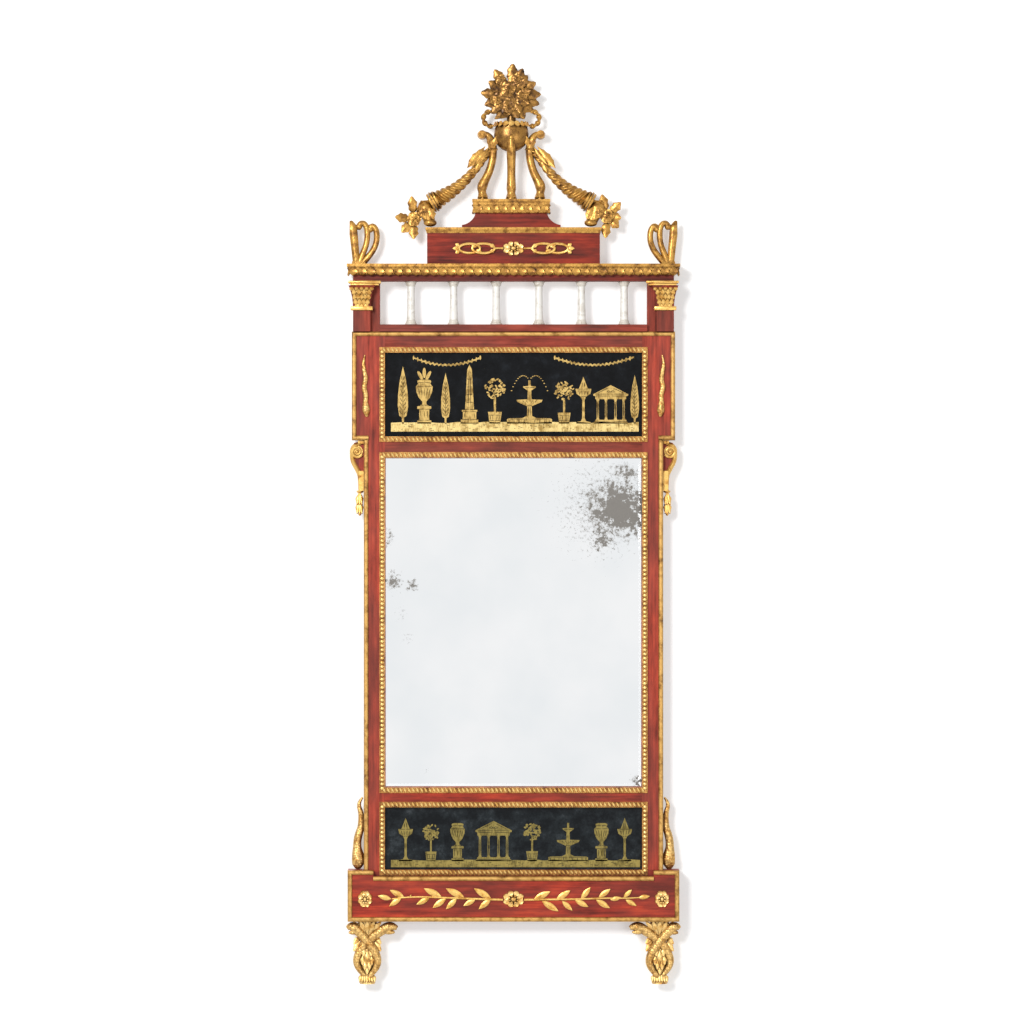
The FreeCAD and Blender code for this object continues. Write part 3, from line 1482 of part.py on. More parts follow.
def make_scroll_links():
    """Two interlaced pierced ovals with a bud at the outer end, beside the attic rosette."""
    tall = float(S.link_height) / 2
    length = float(S.link_length)
    band = float(S.link_band)
    thick = float(S.spray_rise)
    start = -float(S.rosette_width) / 2 - float(S.crest_play)
    oval = length * 0.27
    first = Vector(start - length * 0.4, 0, 0)
    second = first - Vector(oval * 1.3, 0, 0)
    shapes = [
        oval_band(first, oval, tall, band, thick),
        oval_band(second, oval * 0.95, tall * 0.95, band, thick),
        leaf(Vector(start - length * 0.16, 0, 0), Vector(start, 0, 0), tall * 0.4, thick * 2),
        leaf(second - Vector(oval * 0.8, 0, 0), second - Vector(oval * 1.3, 0, 0), tall * 0.4, thick * 2),
    ]
    attic_middle = entablature_top + (S.attic_height - S.attic_moulding_height) / 2
    left = carved("left_link", ahead_of(joined(shapes), 0.0), (0.0, attic_front, attic_middle))
    return group("attic_scroll_links", [left, mirrored("right_link", left)])


def lens(root, tip, half_width, thick):
    """A laurel leaf: two arcs pushed forward from the face."""
    way = tip - root
    side = Vector(-way.z, 0, way.x).normalize() * half_width
    middle = (root + tip) / 2
    arcs = [Part.Arc(root, middle + side, tip).toShape(), Part.Arc(tip, middle - side, root).toShape()]
    return Part.Face(Part.Wire(arcs)).extrude(FORWARD * thick)


LAUREL_SLANT = math.radians(30)


def make_sprays():
    """Laurel sprays: leaves by turns above and below a thin stem, and one at its end."""
    length = float(S.spray_length)
    reach = float(S.spray_leaf_length)
    half = float(S.spray_leaf_width) / 2
    thick = float(S.spray_rise)
    start = float(S.rosette_width) / 2 + float(S.crest_play)
    stem_end = start + length - reach
    slim = half * 0.7
    stem = Part.makeBox(stem_end - start, slim, slim, Vector(-stem_end, -slim, -slim / 2))
    end_tip = Vector(-stem_end - reach, 0, reach * 0.15)
    shapes = [stem, lens(Vector(half - stem_end, 0, 0), end_tip, half, thick)]
    for sign, count in ((1, 5), (-1, 6)):
        pitch = (stem_end - start - reach) / count
        for i in range(count):
            root = Vector(-start - pitch * (i + 0.55 + 0.1 * sign), 0, 0)
            tip = root + Vector(-math.cos(LAUREL_SLANT), 0, sign * math.sin(LAUREL_SLANT)) * reach
            shapes.append(lens(root, tip, half, thick))
    base_middle = base_bottom + (S.base_height - S.beading_width) / 2
    left = carved("left_spray", joined(shapes), (0.0, base_front, base_middle))
    return group("laurel_sprays", [left, mirrored("right_spray", left)])


# Serpents, tail to nose: shares of the length across and up, and thickness.
SHOULDER_SERPENT = (
    ((0.01, 0.0), 0.16),
    ((0.0, -0.22), 0.5),
    ((0.015, -0.48), 0.62),
    ((0.05, -0.66), 0.66),
    ((0.035, -0.82), 0.75),
    ((0.04, -0.9), 1.0),
    ((0.05, -1.0), 0.4),
)
SIDE_SERPENT = (
    ((0.02, 1.0), 0.2),
    ((0.066, 0.9), 0.5),
    ((0.03, 0.75), 0.7),
    ((0.03, 0.57), 0.8),
    ((0.1, 0.47), 0.9),
    ((0.106, 0.29), 1.0),
    ((0.08, 0.16), 1.85),
    ((0.086, 0.0), 0.8),
)


def make_serpents():
    """Small serpents laid on the shoulders, and larger ones standing on the base beside the stiles."""
    long = float(S.serpent_length)
    line = trail([spot for spot, _ in SHOULDER_SERPENT], long, long)
    radii = [share * float(S.serpent_radius) for _, share in SHOULDER_SERPENT]
    shape = ahead_of(limb(line, radii), 0.0)
    drop = (S.shoulder_height - S.serpent_length) / 2
    left = carved("left_shoulder_serpent", shape, (-stile_outer, front, frame_top - drop))
    pairs = [group("shoulder_serpents", [left, mirrored("right_shoulder_serpent", left)])]

    tall = float(S.side_serpent_height)
    line = trail([spot for spot, _ in SIDE_SERPENT], -tall, tall)
    radii = [share * float(S.side_serpent_radius) for _, share in SIDE_SERPENT]
    shape = above(left_of(limb(line, radii), 0.0), 0.0)
    standing = carved("left_side_serpent", shape, (-stile_outer, dowel_depth, base_top))
    pairs.append(group("side_serpents", [standing, mirrored("right_side_serpent", standing)]))
    return pairs


def make_brackets():
    """Scroll brackets under the shoulders: a volute, a hollow and a bellflower drop, on the stile's side."""
    reach = S.bracket_reach
    tall = S.bracket_height
    drop = S.drop_length
    outline = [
        (as_size(0.0), as_size(0.0)),
        (-reach * 0.5, -tall * 0.07),
        (-reach, -tall * 0.24, reach * 0.55, 1),
        (-reach * 0.88, -tall * 0.52, tall * 0.5, 1),
        (-reach * 0.36, -tall * 0.78, tall * 0.45, 1),
        (-reach * 0.24, -tall, tall * 0.36, -1),
        (-reach * 0.42, -tall - drop * 0.2),
        (-reach * 0.24, -tall - drop, drop, 1),
        (as_size(0.0), -tall - drop * 0.45),
    ]
    at = (-stile_outer, back - (S.frame_depth - S.bracket_depth) / 2, shoulder_bottom)
    left = padded("left_bracket", "XZ_Plane", outline, S.bracket_depth, at)
    return group("scroll_brackets", [left, mirrored("right_bracket", left)])


# A foot's leaf bulb and the cup under it, from the top down: share of the height, and width.
FOOT_BULB = (
    (0.0, 1.25),
    (0.17, 0.92),
    (0.34, 0.6),
    (0.5, 0.86),
    (0.64, 1.0),
    (0.8, 0.6),
    (0.9, 0.66),
    (1.0, 0.92),
)
FOOT_FLATNESS = 0.75

# A foot's serpent from nose to tail: shares across and up, and thickness.
FOOT_SERPENT = (
    ((1.0, -0.12), 0.45),
    ((0.78, -0.07), 1.15),
    ((0.48, -0.15), 0.9),
    ((0.0, -0.34), 0.95),
    ((-0.33, -0.5), 0.9),
    ((-0.42, -0.63), 0.8),
    ((-0.24, -0.76), 0.65),
    ((-0.05, -0.86), 0.4),
)


def make_feet():
    """Feet: two serpents crossing under the base, round a leaf bulb that ends in a flared cup."""
    tall = float(S.foot_height)
    thick = float(S.foot_serpent_radius)
    radii = [share * thick for _, share in FOOT_SERPENT]
    core = float(S.foot_core_radius)
    shapes = []
    for side, nose in ((-1, float(S.foot_outer_reach)), (1, float(S.foot_inner_reach))):
        line = []
        for (across, up), _ in FOOT_SERPENT:
            reach = nose if across > 0 else float(S.foot_bulge)
            line.append(Vector(across * reach * side, side * thick * 0.5, up * tall))
        shapes.append(limb(line, radii))
    rings = []
    for down, width in FOOT_BULB:
        rings.append(oval_ring(Vector(0, 0, -down * tall), width * core, width * core * FOOT_FLATNESS))
    shapes.append(skin(rings))
    shape = below(joined(shapes), 0.0)
    hole = Part.makeCylinder(
        float(S.dowel_radius + S.joint_play),
        float(S.dowel_length / 2 + S.joint_play),
        Vector(),
        Vector(0, 0, -1),
    )
    left = carved("left_foot", shape.cut(hole), (-foot_middle, dowel_depth, base_bottom))
    return [left, mirrored("right_foot", left)]


def make_pieces():
    """Every sub-part of the mirror, from the carcass to the hanging iron."""
    pieces = make_stiles()
    pieces += [make_rail(name) for name in RAILS]
    pieces.append(make_base())
    pieces += make_shoulders()
    pieces += make_edgings()
    pieces.append(beading_frame("upper_panel_beading", upper_bottom, upper_top))
    pieces.append(beading_frame("mirror_beading", mirror_bottom, mirror_top))
    pieces.append(beading_frame("lower_panel_beading", base_top, lower_top))
    pieces.append(make_painted_glass("upper_painted_glass", upper_bottom, upper_top))
    pieces.append(make_mirror_plate())
    pieces.append(make_painted_glass("lower_painted_glass", base_top, lower_top))
    pieces.append(make_glazing_blocks())
    pieces += [make_backboard(opening) for opening in NAIL_ROWS]
    pieces.append(make_nails())
    pieces.append(make_sill())
    pieces += make_columns()
    pieces += make_posts()
    pieces.append(make_capitals())
    pieces.append(make_entablature())
    pieces.append(make_cornice())
    pieces += make_attic()
    pieces += make_plinth()
    pieces += make_tripod()
    pieces.append(make_bouquet())
    pieces += make_cornucopias()
    pieces.append(make_lyres())
    pieces += make_rosettes()
    pieces.append(make_scroll_links())
    pieces.append(make_sprays())
    pieces += make_serpents()
    pieces.append(make_brackets())
    pieces += make_feet()
    pieces.append(make_dowels())
    pieces += make_hangers()
    pieces += [make_ring("left_hanging_ring", -1), make_ring("right_hanging_ring", 1)]
    return pieces


pieces = make_pieces()
doc.recompute()

for thing in doc.Objects:
    if "Invalid" in thing.State or "Error" in thing.State:
        raise RuntimeError(f"{thing.Label} failed: {thing.State}")
os.makedirs("parts", exist_ok=True)
for piece in pieces:
    if piece.Shape.isNull() or not piece.Shape.isValid():
        raise RuntimeError(f"{piece.Label} has no valid shape")
for piece in pieces:
    piece.Shape.exportStep(f"parts/{piece.Label}.step")
print(len(pieces), "sub-parts written")
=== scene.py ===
"""Looks of a neoclassical wall mirror: red paint, worn gilding, alabaster, silvering and gold on black glass.

Meshes are worked in millimetres and finished in metres, in the frame of the solids: X to the right,
Y into the wall, Z up, with the middle of the mirror plate on the wall plane as the origin.
"""
import math
import random

import bmesh
import bpy
from mathutils import Matrix, Vector


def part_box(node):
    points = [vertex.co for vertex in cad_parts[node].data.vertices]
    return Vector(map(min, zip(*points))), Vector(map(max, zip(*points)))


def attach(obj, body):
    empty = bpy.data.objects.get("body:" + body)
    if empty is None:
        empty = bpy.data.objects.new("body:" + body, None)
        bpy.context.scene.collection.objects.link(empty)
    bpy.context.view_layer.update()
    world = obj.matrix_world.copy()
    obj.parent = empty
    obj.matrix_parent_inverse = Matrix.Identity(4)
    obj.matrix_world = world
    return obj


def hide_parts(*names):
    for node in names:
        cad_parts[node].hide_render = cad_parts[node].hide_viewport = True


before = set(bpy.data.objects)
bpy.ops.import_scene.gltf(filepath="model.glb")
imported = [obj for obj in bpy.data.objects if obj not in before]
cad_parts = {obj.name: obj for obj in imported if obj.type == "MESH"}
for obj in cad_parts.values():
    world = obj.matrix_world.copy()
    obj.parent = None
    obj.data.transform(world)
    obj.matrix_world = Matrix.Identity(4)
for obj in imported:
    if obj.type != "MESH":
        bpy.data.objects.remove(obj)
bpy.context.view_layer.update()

# Carcass: stiles, rails, shoulders, base, posts, entablature, attic and plinth.
# Pine, mortised and doweled, brushed with an oil-bound red over a dark ground; the paint has worn
# thin along the strokes, so it runs from scarlet to maroon in streaks along each board.


def linear(code):
    """Linear colour of an sRGB hex value."""
    channels = [int(code[i:i + 2], 16) / 255 for i in (1, 3, 5)]
    return [c / 12.92 if c < 0.04045 else ((c + 0.055) / 1.055) ** 2.4 for c in channels] + [1.0]


def node(tree, kind, inputs=None, ramp=None, **settings):
    """Add a node with its settings, and set or link its inputs."""
    made = tree.nodes.new(kind)
    for key, value in settings.items():
        setattr(made, key, value)
    for key, value in (inputs or {}).items():
        if isinstance(value, bpy.types.NodeSocket):
            tree.links.new(value, made.inputs[key])
        else:
            made.inputs[key].default_value = value
    if ramp:
        stops = made.color_ramp.elements
        while len(stops) < len(ramp):
            stops.new(1.0)
        for stop, (place, code) in zip(stops, ramp):
            stop.position = place
            stop.color = linear(code)
    return made


def new_material(name, **values):
    """A material with its shader's even values set on the shader itself."""
    made = bpy.data.materials.new(name)
    made.use_nodes = True
    shader = made.node_tree.nodes["Principled BSDF"]
    for key, value in values.items():
        shader.inputs[key.replace("_", " ")].default_value = value
    return made, made.node_tree, shader


# Length and width of a brush streak, a blot and a worn patch, in metres.
STREAK = (0.09, 0.0036)
BLOT = (0.05, 0.013)
PATCH = (0.16, 0.035)
BARE_WOOD = [(0.3, "#62442a"), (0.5, "#8c6843"), (0.7, "#a98459")]


def red_paint(name, along, strokes, worn):
    """Brushed red paint with streaks along one axis; the wood is left bare where it faces the wall."""
    paint, tree, shader = new_material(name, Specular_IOR_Level=0.2)
    place = node(tree, "ShaderNodeTexCoord")
    spot = place.outputs["Object"]

    def stretched(long, wide, detail):
        scale = [1 / long if axis == along else 1 / wide for axis in "XYZ"]
        drawn = node(tree, "ShaderNodeMapping", {"Vector": spot, "Scale": scale}).outputs["Vector"]
        return node(
            tree, "ShaderNodeTexNoise", {"Vector": drawn, "Scale": 1.0, "Detail": detail, "Roughness": 0.6},
        ).outputs["Fac"]

    streaks = stretched(*STREAK, 5.0)
    blots = stretched(*BLOT, 5.0)
    patches = stretched(*PATCH, 3.0)
    brushed = node(
        tree, "ShaderNodeMix", {"Factor": 0.55, "A": streaks, "B": blots}, data_type="FLOAT",
    ).outputs["Result"]
    fresh = node(
        tree, "ShaderNodeValToRGB", {"Fac": brushed}, ramp=list(zip((0.36, 0.45, 0.54, 0.66), strokes)),
    ).outputs["Color"]
    rubbed = node(
        tree, "ShaderNodeValToRGB", {"Fac": patches}, ramp=list(zip((0.36, 0.50, 0.62), worn)),
    ).outputs["Color"]
    share = node(
        tree, "ShaderNodeMapRange",
        {"Value": patches, "From Min": 0.62, "From Max": 0.34, "To Min": 0.05, "To Max": 0.7},
    ).outputs["Result"]
    coat = node(
        tree, "ShaderNodeMix", {"Factor": share, "A": fresh, "B": rubbed}, data_type="RGBA",
    ).outputs["Result"]
    facing = node(tree, "ShaderNodeSeparateXYZ", {"Vector": place.outputs["Normal"]}).outputs["Y"]
    bare = node(
        tree, "ShaderNodeMapRange", {"Value": facing, "From Min": 0.6, "From Max": 0.8},
    ).outputs["Result"]
    wood = node(tree, "ShaderNodeValToRGB", {"Fac": streaks}, ramp=BARE_WOOD).outputs["Color"]
    body = node(tree, "ShaderNodeMix", {"Factor": bare, "A": coat, "B": wood}, data_type="RGBA")
    tree.links.new(body.outputs["Result"], shader.inputs["Base Color"])
    gloss = node(
        tree, "ShaderNodeMapRange",
        {"Value": streaks, "From Min": 0.3, "From Max": 0.7, "To Min": 0.62, "To Max": 0.42},
    )
    tree.links.new(gloss.outputs["Result"], shader.inputs["Roughness"])
    relief = node(tree, "ShaderNodeBump", {"Height": streaks, "Strength": 0.25, "Distance": 0.0006})
    tree.links.new(relief.outputs["Normal"], shader.inputs["Normal"])
    return paint


def paint_nodes(material, *names):
    """Give solids of the frame a material."""
    for name in names:
        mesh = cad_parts[name].data
        mesh.materials.clear()
        mesh.materials.append(material)


red_upright = red_paint(
    "red_oil_paint_upright", "Z",
    ("#5a2018", "#8c3425", "#ab402e", "#d0543a"), ("#6d342c", "#8d463b", "#a04434"),
)
red_level = red_paint(
    "red_oil_paint_level", "X",
    ("#50180f", "#852a1d", "#a83725", "#cf4c2d"), ("#602a22", "#853e33", "#983a2a"),
)
# A darker copy of the level paint for entablature, attic and plinth: painted shade on these upper blocks.
red_crest_shaded = red_paint(
    "red_oil_paint_shaded", "X",
    ("#380e08", "#651d11", "#832717", "#a6361e"), ("#4b1f18", "#662d22", "#78291b"),
)
DULL = (("#46180f", "#762b1c", "#913827", "#b04b36"), ("#5a2d26", "#774036", "#883e31"))
red_post = red_paint("red_oil_paint_dull_upright", "Z", *DULL)
red_rail = red_paint("red_oil_paint_dull_level", "X", *DULL)
paint_nodes(red_upright, "left_stile", "right_stile", "left_shoulder", "right_shoulder")
paint_nodes(red_post, "left_post", "right_post")
paint_nodes(red_rail, "top_rail", "upper_cross_rail", "gallery_sill")
paint_nodes(red_level, "lower_cross_rail", "base_block")
paint_nodes(red_crest_shaded, "entablature", "attic_block", "crest_plinth")

# Edgings: half-round strips of limewood nailed along the outer edges of frame, shoulders and base.
# Water gilt over a red-brown clay ground that shows where the leaf has rubbed; the recesses are darkened
# towards the clay's colour as painted shade.

# Sizes of the rubbed spots and of the grit in the leaf, in metres.
RUB_SIZE = 0.012
GRIT_SIZE = 0.0018


def gilding(name, leaf, tone, ground, roughness, wear=0.5, hollows=0.009, scales=0.0):
    """Leaf over a clay ground with painted shade in hollows of a given width; scales is the size of pricked
    scales.
    """
    gilt, tree, shader = new_material(name, Metallic=0.62)
    spot = node(tree, "ShaderNodeTexCoord").outputs["Object"]
    rub = node(
        tree, "ShaderNodeTexNoise", {"Vector": spot, "Scale": 1 / RUB_SIZE, "Detail": 6.0, "Roughness": 0.65},
    ).outputs["Fac"]
    grit = node(
        tree, "ShaderNodeTexNoise", {"Vector": spot, "Scale": 1 / GRIT_SIZE, "Detail": 3.0, "Roughness": 0.6},
    ).outputs["Fac"]
    face = node(
        tree, "ShaderNodeValToRGB", {"Fac": rub},
        ramp=[(wear - 0.18, ground), (wear - 0.06, tone), (wear + 0.06, leaf)],
    ).outputs["Color"]
    # Painted shade: ambient occlusion over the given width darkens the hollows towards the clay colour.
    hollow = node(tree, "ShaderNodeAmbientOcclusion", {"Distance": hollows}, samples=8).outputs["AO"]
    depth = node(
        tree, "ShaderNodeMapRange", {"Value": hollow, "From Min": 0.06, "From Max": 0.74},
    ).outputs["Result"]
    height = rub
    if scales:
        cells = node(
            tree, "ShaderNodeTexVoronoi", {"Vector": spot, "Scale": 1 / scales, "Randomness": 0.6},
        ).outputs["Distance"]
        height = node(
            tree, "ShaderNodeMath", {0: cells, 1: -1.4, 2: rub}, operation="MULTIPLY_ADD",
        ).outputs["Value"]
        # Dark rims between the pricked scales are the scales' own joints, multiplied into the painted shade.
        rim = node(
            tree, "ShaderNodeMapRange",
            {"Value": cells, "From Min": 0.75, "From Max": 0.4, "To Min": 0.45, "To Max": 1.0},
        ).outputs["Result"]
        depth = node(tree, "ShaderNodeMath", {0: depth, 1: rim}, operation="MULTIPLY").outputs["Value"]
    shade_mixed = node(tree, "ShaderNodeMix", {"Factor": depth, "A": linear(ground), "B": face}, data_type="RGBA")
    tree.links.new(shade_mixed.outputs["Result"], shader.inputs["Base Color"])
    dull = node(
        tree, "ShaderNodeMapRange",
        {
            "Value": grit, "From Min": 0.3, "From Max": 0.7,
            "To Min": roughness - 0.1, "To Max": roughness + 0.14,
        },
    )
    tree.links.new(dull.outputs["Result"], shader.inputs["Roughness"])
    relief = node(tree, "ShaderNodeBump", {"Height": height, "Strength": 0.5, "Distance": 0.0012})
    tree.links.new(relief.outputs["Normal"], shader.inputs["Normal"])
    return gilt


bright_gilding = gilding("water_gilding_bright", "#e0b565", "#c58f3f", "#5f3714", 0.34, wear=0.46)
toned_gilding = gilding("water_gilding_toned", "#b98a40", "#8c6026", "#341d08", 0.3, wear=0.48, hollows=0.015)
pale_gilding = gilding("water_gilding_pale", "#e2bc76", "#c39146", "#5e3812", 0.34, wear=0.46)
bead_gilding = gilding("water_gilding_burnished", "#f0ca7e", "#dba654", "#7a4a1e", 0.32, wear=0.4)
# The strips under the beads, flats included, take a darker, duller copy of the gilding: painted shade in the
# gaps between the beads.
shaded_bed_gilding = gilding("water_gilding_shaded_bed", "#cf9b55", "#a87538", "#6c411b", 0.5, wear=0.52)
edge_gilding = gilding("water_gilding_rubbed", "#c29753", "#a0763a", "#66431b", 0.42, wear=0.48)
paint_nodes(edge_gilding, "frame_edging", "base_edging")

# Beadings: mitred limewood strips round the three openings, with a row of beads between two flats.
# The level strips have slanting beads like a rope, the upright ones rounder pearls. Carved in the length,
# gilt with the frame and pinned to it.

BEAD_PITCH = 6.3
BEAD_HEIGHT = 2.1
ROPE_SLANT = math.radians(34)
ROPE_SIZE = (BEAD_PITCH * 0.62, 5.6, 8.4)
PEARL_SLANT = math.radians(8)
PEARL_SIZE = (BEAD_PITCH * 0.88, 5.8, 6.6)
STRIP_WIDTH = 8.0
STRIP_SPARE = 1.0
FLAT_WIDTH = 0.7
FLAT_HEIGHT = 2.4
BED_HEIGHT = 1.4


def box_mm(name):
    """Lowest and highest corner of a solid of the frame, in millimetres."""
    return [corner * 1000 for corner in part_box(name)]


def finish(bm, name, material, *nodes, slot="gilding", body="frame", smooth=True):
    """Turn a mesh in millimetres into a piece that rides with a body and stands for solids of the frame."""
    bmesh.ops.scale(bm, vec=(0.001, 0.001, 0.001), verts=bm.verts)
    bmesh.ops.recalc_face_normals(bm, faces=bm.faces)
    for face in bm.faces:
        face.smooth = smooth
    mesh = bpy.data.meshes.new(name)
    bm.to_mesh(mesh)
    bm.free()
    mesh.materials.append(material)
    piece = bpy.data.objects.new(name, mesh)
    bpy.context.collection.objects.link(piece)
    if smooth:
        mesh.set_sharp_from_angle(angle=math.radians(42))
    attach(piece, body)
    if nodes:
        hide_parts(*nodes)


def slab(bm, low, high):
    """A rectangular block between two corners."""
    low = Vector(low)
    high = Vector(high)
    cube = bmesh.ops.create_cube(bm, size=1.0)["verts"]
    bmesh.ops.scale(bm, vec=high - low, verts=cube)
    bmesh.ops.translate(bm, vec=(low + high) / 2, verts=cube)


def boss(bm, centre, size, turn=None, sides=8, rings=6):
    """A rounded boss: a ball stretched to a size, turned and set in place."""
    ball = bmesh.ops.create_uvsphere(bm, u_segments=sides, v_segments=rings, radius=0.5)["verts"]
    bmesh.ops.scale(bm, vec=size, verts=ball)
    if turn:
        bmesh.ops.rotate(bm, cent=(0, 0, 0), matrix=turn, verts=ball)
    bmesh.ops.translate(bm, vec=centre, verts=ball)


def bead_row(bm, start, end, depth, slant, size):
    """Slanting beads from start to end, an even number of pitches apart."""
    way = end - start
    count = round(way.length / BEAD_PITCH)
    angle = math.atan2(way.z, way.x)
    turn = Matrix.Rotation(-angle - slant, 3, "Y")
    for k in range(count):
        spot = start + way * ((k + 0.5) / count)
        boss(bm, (spot.x, depth, spot.z), size, turn)


def beading_frame(name):
    """Four strips with a thin flat at each edge and the bead row between them."""
    low, high = box_mm(name)
    low = low + Vector((STRIP_SPARE, 0, STRIP_SPARE))
    high = high - Vector((STRIP_SPARE, 0, STRIP_SPARE))
    bm = bmesh.new()
    for inset, reach, height in (
        (0.0, FLAT_WIDTH, FLAT_HEIGHT),
        (FLAT_WIDTH, STRIP_WIDTH - FLAT_WIDTH, BED_HEIGHT),
        (STRIP_WIDTH - FLAT_WIDTH, STRIP_WIDTH, FLAT_HEIGHT),
    ):
        top = high.y - height
        slab(bm, (low.x + inset, top, high.z - reach), (high.x - inset, high.y, high.z - inset))
        slab(bm, (low.x + inset, top, low.z + inset), (high.x - inset, high.y, low.z + reach))
        slab(bm, (low.x + inset, top, low.z + reach), (low.x + reach, high.y, high.z - reach))
        slab(bm, (high.x - reach, top, low.z + reach), (high.x - inset, high.y, high.z - reach))
    finish(bm, name.replace("beading", "bead_bed"), shaded_bed_gilding, name)
    bm = bmesh.new()
    middle = STRIP_WIDTH / 2
    corners = [
        Vector((x, 0, z))
        for x, z in (
            (low.x + middle, low.z + middle), (high.x - middle, low.z + middle),
            (high.x - middle, high.z - middle), (low.x + middle, high.z - middle),
        )
    ]
    for i in range(4):
        slant, size = (PEARL_SLANT, PEARL_SIZE) if i % 2 else (ROPE_SLANT, ROPE_SIZE)
        bead_row(bm, corners[i], corners[(i + 1) % 4], high.y - BEAD_HEIGHT, slant, size)
    finish(bm, name.replace("beading", "beads"), bead_gilding)


for opening in ("upper_panel_beading", "mirror_beading", "lower_panel_beading"):
    beading_frame(opening)

# Mirror plate: blown glass with a narrow ground bevel, backed with tin and mercury.
# The silvering has foxed: a dark cloud at the upper right, spots by the left edge and fine specks elsewhere.

# Sizes of the fine specks and of the haze, in metres, and how fast a blotch thins out from its middle.
SPECK_SIZE = 0.004
HAZE_SIZE = 0.12
THINNING = -0.35
FOXED = "#6b6864"

silvered, tree, shader = new_material("old_silvered_glass", Metallic=1.0)
spot = node(tree, "ShaderNodeTexCoord").outputs["Object"]


def stain(tree, spot, centre, size, threshold, grain, soft):
    """Mask of a soft-edged blotch: an oval round a centre, broken up by noise of a grain, in metres."""
    moved = node(
        tree, "ShaderNodeVectorMath", {0: spot, 1: centre}, operation="SUBTRACT",
    ).outputs["Vector"]
    oval = node(
        tree, "ShaderNodeVectorMath", {0: moved, 1: (1 / size[0], 0.0, 1 / size[1])}, operation="MULTIPLY",
    ).outputs["Vector"]
    away = node(tree, "ShaderNodeVectorMath", {0: oval}, operation="LENGTH").outputs["Value"]
    broken = node(
        tree, "ShaderNodeTexNoise", {"Vector": spot, "Scale": 1 / grain, "Detail": 7.0, "Roughness": 0.7},
    ).outputs["Fac"]
    edge = node(
        tree, "ShaderNodeMath", {0: away, 1: THINNING, 2: broken}, operation="MULTIPLY_ADD",
    ).outputs["Value"]
    return node(
        tree, "ShaderNodeMapRange", {"Value": edge, "From Min": threshold, "From Max": threshold + soft},
    ).outputs["Result"]


# Centre, half width and half height, threshold, grain and softness of each blotch, in metres.
STAINS = (
    ((0.138, 0.0, 0.172), (0.175, 0.165), 0.42, 0.0050, 0.12),
    ((0.163, 0.0, 0.170), (0.067, 0.055), 0.24, 0.011, 0.08),
    ((0.134, 0.0, 0.126), (0.034, 0.040), 0.36, 0.007, 0.08),
    ((0.172, 0.0, 0.226), (0.046, 0.026), 0.34, 0.008, 0.10),
    ((-0.1805, 0.0, 0.0615), (0.019, 0.024), 0.32, 0.0045, 0.09),
    ((-0.152, 0.0, 0.056), (0.015, 0.015), 0.32, 0.0045, 0.09),
    ((-0.187, 0.0, 0.127), (0.018, 0.036), 0.42, 0.0045, 0.10),
    ((-0.168, 0.0, 0.012), (0.050, 0.060), 0.52, 0.004, 0.14),
    ((-0.160, 0.0, -0.024), (0.040, 0.035), 0.50, 0.004, 0.14),
    ((0.186, 0.0, -0.238), (0.016, 0.016), 0.30, 0.005, 0.14),
    ((-0.130, 0.0, -0.222), (0.030, 0.024), 0.52, 0.004, 0.14),
)
marks = None
for stain_spec in STAINS:
    mark = stain(tree, spot, *stain_spec)
    if marks is None:
        marks = mark
    else:
        marks = node(tree, "ShaderNodeMath", {0: marks, 1: mark}, operation="MAXIMUM").outputs["Value"]
specks = node(
    tree, "ShaderNodeTexNoise", {"Vector": spot, "Scale": 1 / SPECK_SIZE, "Detail": 4.0, "Roughness": 0.7},
).outputs["Fac"]
specks = node(
    tree, "ShaderNodeMapRange", {"Value": specks, "From Min": 0.70, "From Max": 0.80, "To Max": 0.35},
).outputs["Result"]
marks = node(tree, "ShaderNodeMath", {0: marks, 1: specks}, operation="MAXIMUM").outputs["Value"]
haze = node(
    tree, "ShaderNodeTexNoise", {"Vector": spot, "Scale": 1 / HAZE_SIZE, "Detail": 3.0},
).outputs["Fac"]
clean = node(
    tree, "ShaderNodeValToRGB", {"Fac": haze}, ramp=[(0.35, "#edf0f2"), (0.65, "#f5f6f7")],
).outputs["Color"]
tint = node(tree, "ShaderNodeMix", {"Factor": marks, "A": clean, "B": linear(FOXED)}, data_type="RGBA")
tree.links.new(tint.outputs["Result"], shader.inputs["Base Color"])
blur = node(tree, "ShaderNodeMapRange", {"Value": marks, "To Min": 0.03, "To Max": 0.5})
tree.links.new(blur.outputs["Result"], shader.inputs["Roughness"])
paint_nodes(silvered, "mirror_plate")

# Painted panels: gold leaf laid behind the glass, scratched with a needle and backed with black paint.
# The leaf stands here as thin cut shapes in the glass's face, over a strip of gilt ground: urns, trees,
# a fountain, braziers and garden temples.

# Sizes of the clouds in the paint and of the shade in the leaf, in metres, and needle strokes to a metre.
PAINT_CLOUD = 0.024
LEAF_SHADE = 0.008
NEEDLE_STROKES = (900, 900, 110)
NEEDLE_SLANT = (0, 0.7, 0)
LEAF_THICKNESS = 0.1
SCRATCH_PROUD = 0.03
TUFT_PROUD = 0.08


def black_glass(name, dark, middling, pale):
    """Glass with black paint behind it, clouded where the paint has lifted."""
    glass, tree, shader = new_material(name, Specular_IOR_Level=0.14)
    spot = node(tree, "ShaderNodeTexCoord").outputs["Object"]
    cloud = node(
        tree, "ShaderNodeTexNoise",
        {"Vector": spot, "Scale": 1 / PAINT_CLOUD, "Detail": 8.0, "Roughness": 0.75},
    ).outputs["Fac"]
    colour = node(
        tree, "ShaderNodeValToRGB", {"Fac": cloud}, ramp=[(0.42, dark), (0.56, middling), (0.72, pale)],
    ).outputs["Color"]
    tree.links.new(colour, shader.inputs["Base Color"])
    polish = node(tree, "ShaderNodeMapRange", {"Value": cloud, "To Min": 0.05, "To Max": 0.3})
    tree.links.new(polish.outputs["Result"], shader.inputs["Roughness"])
    return glass


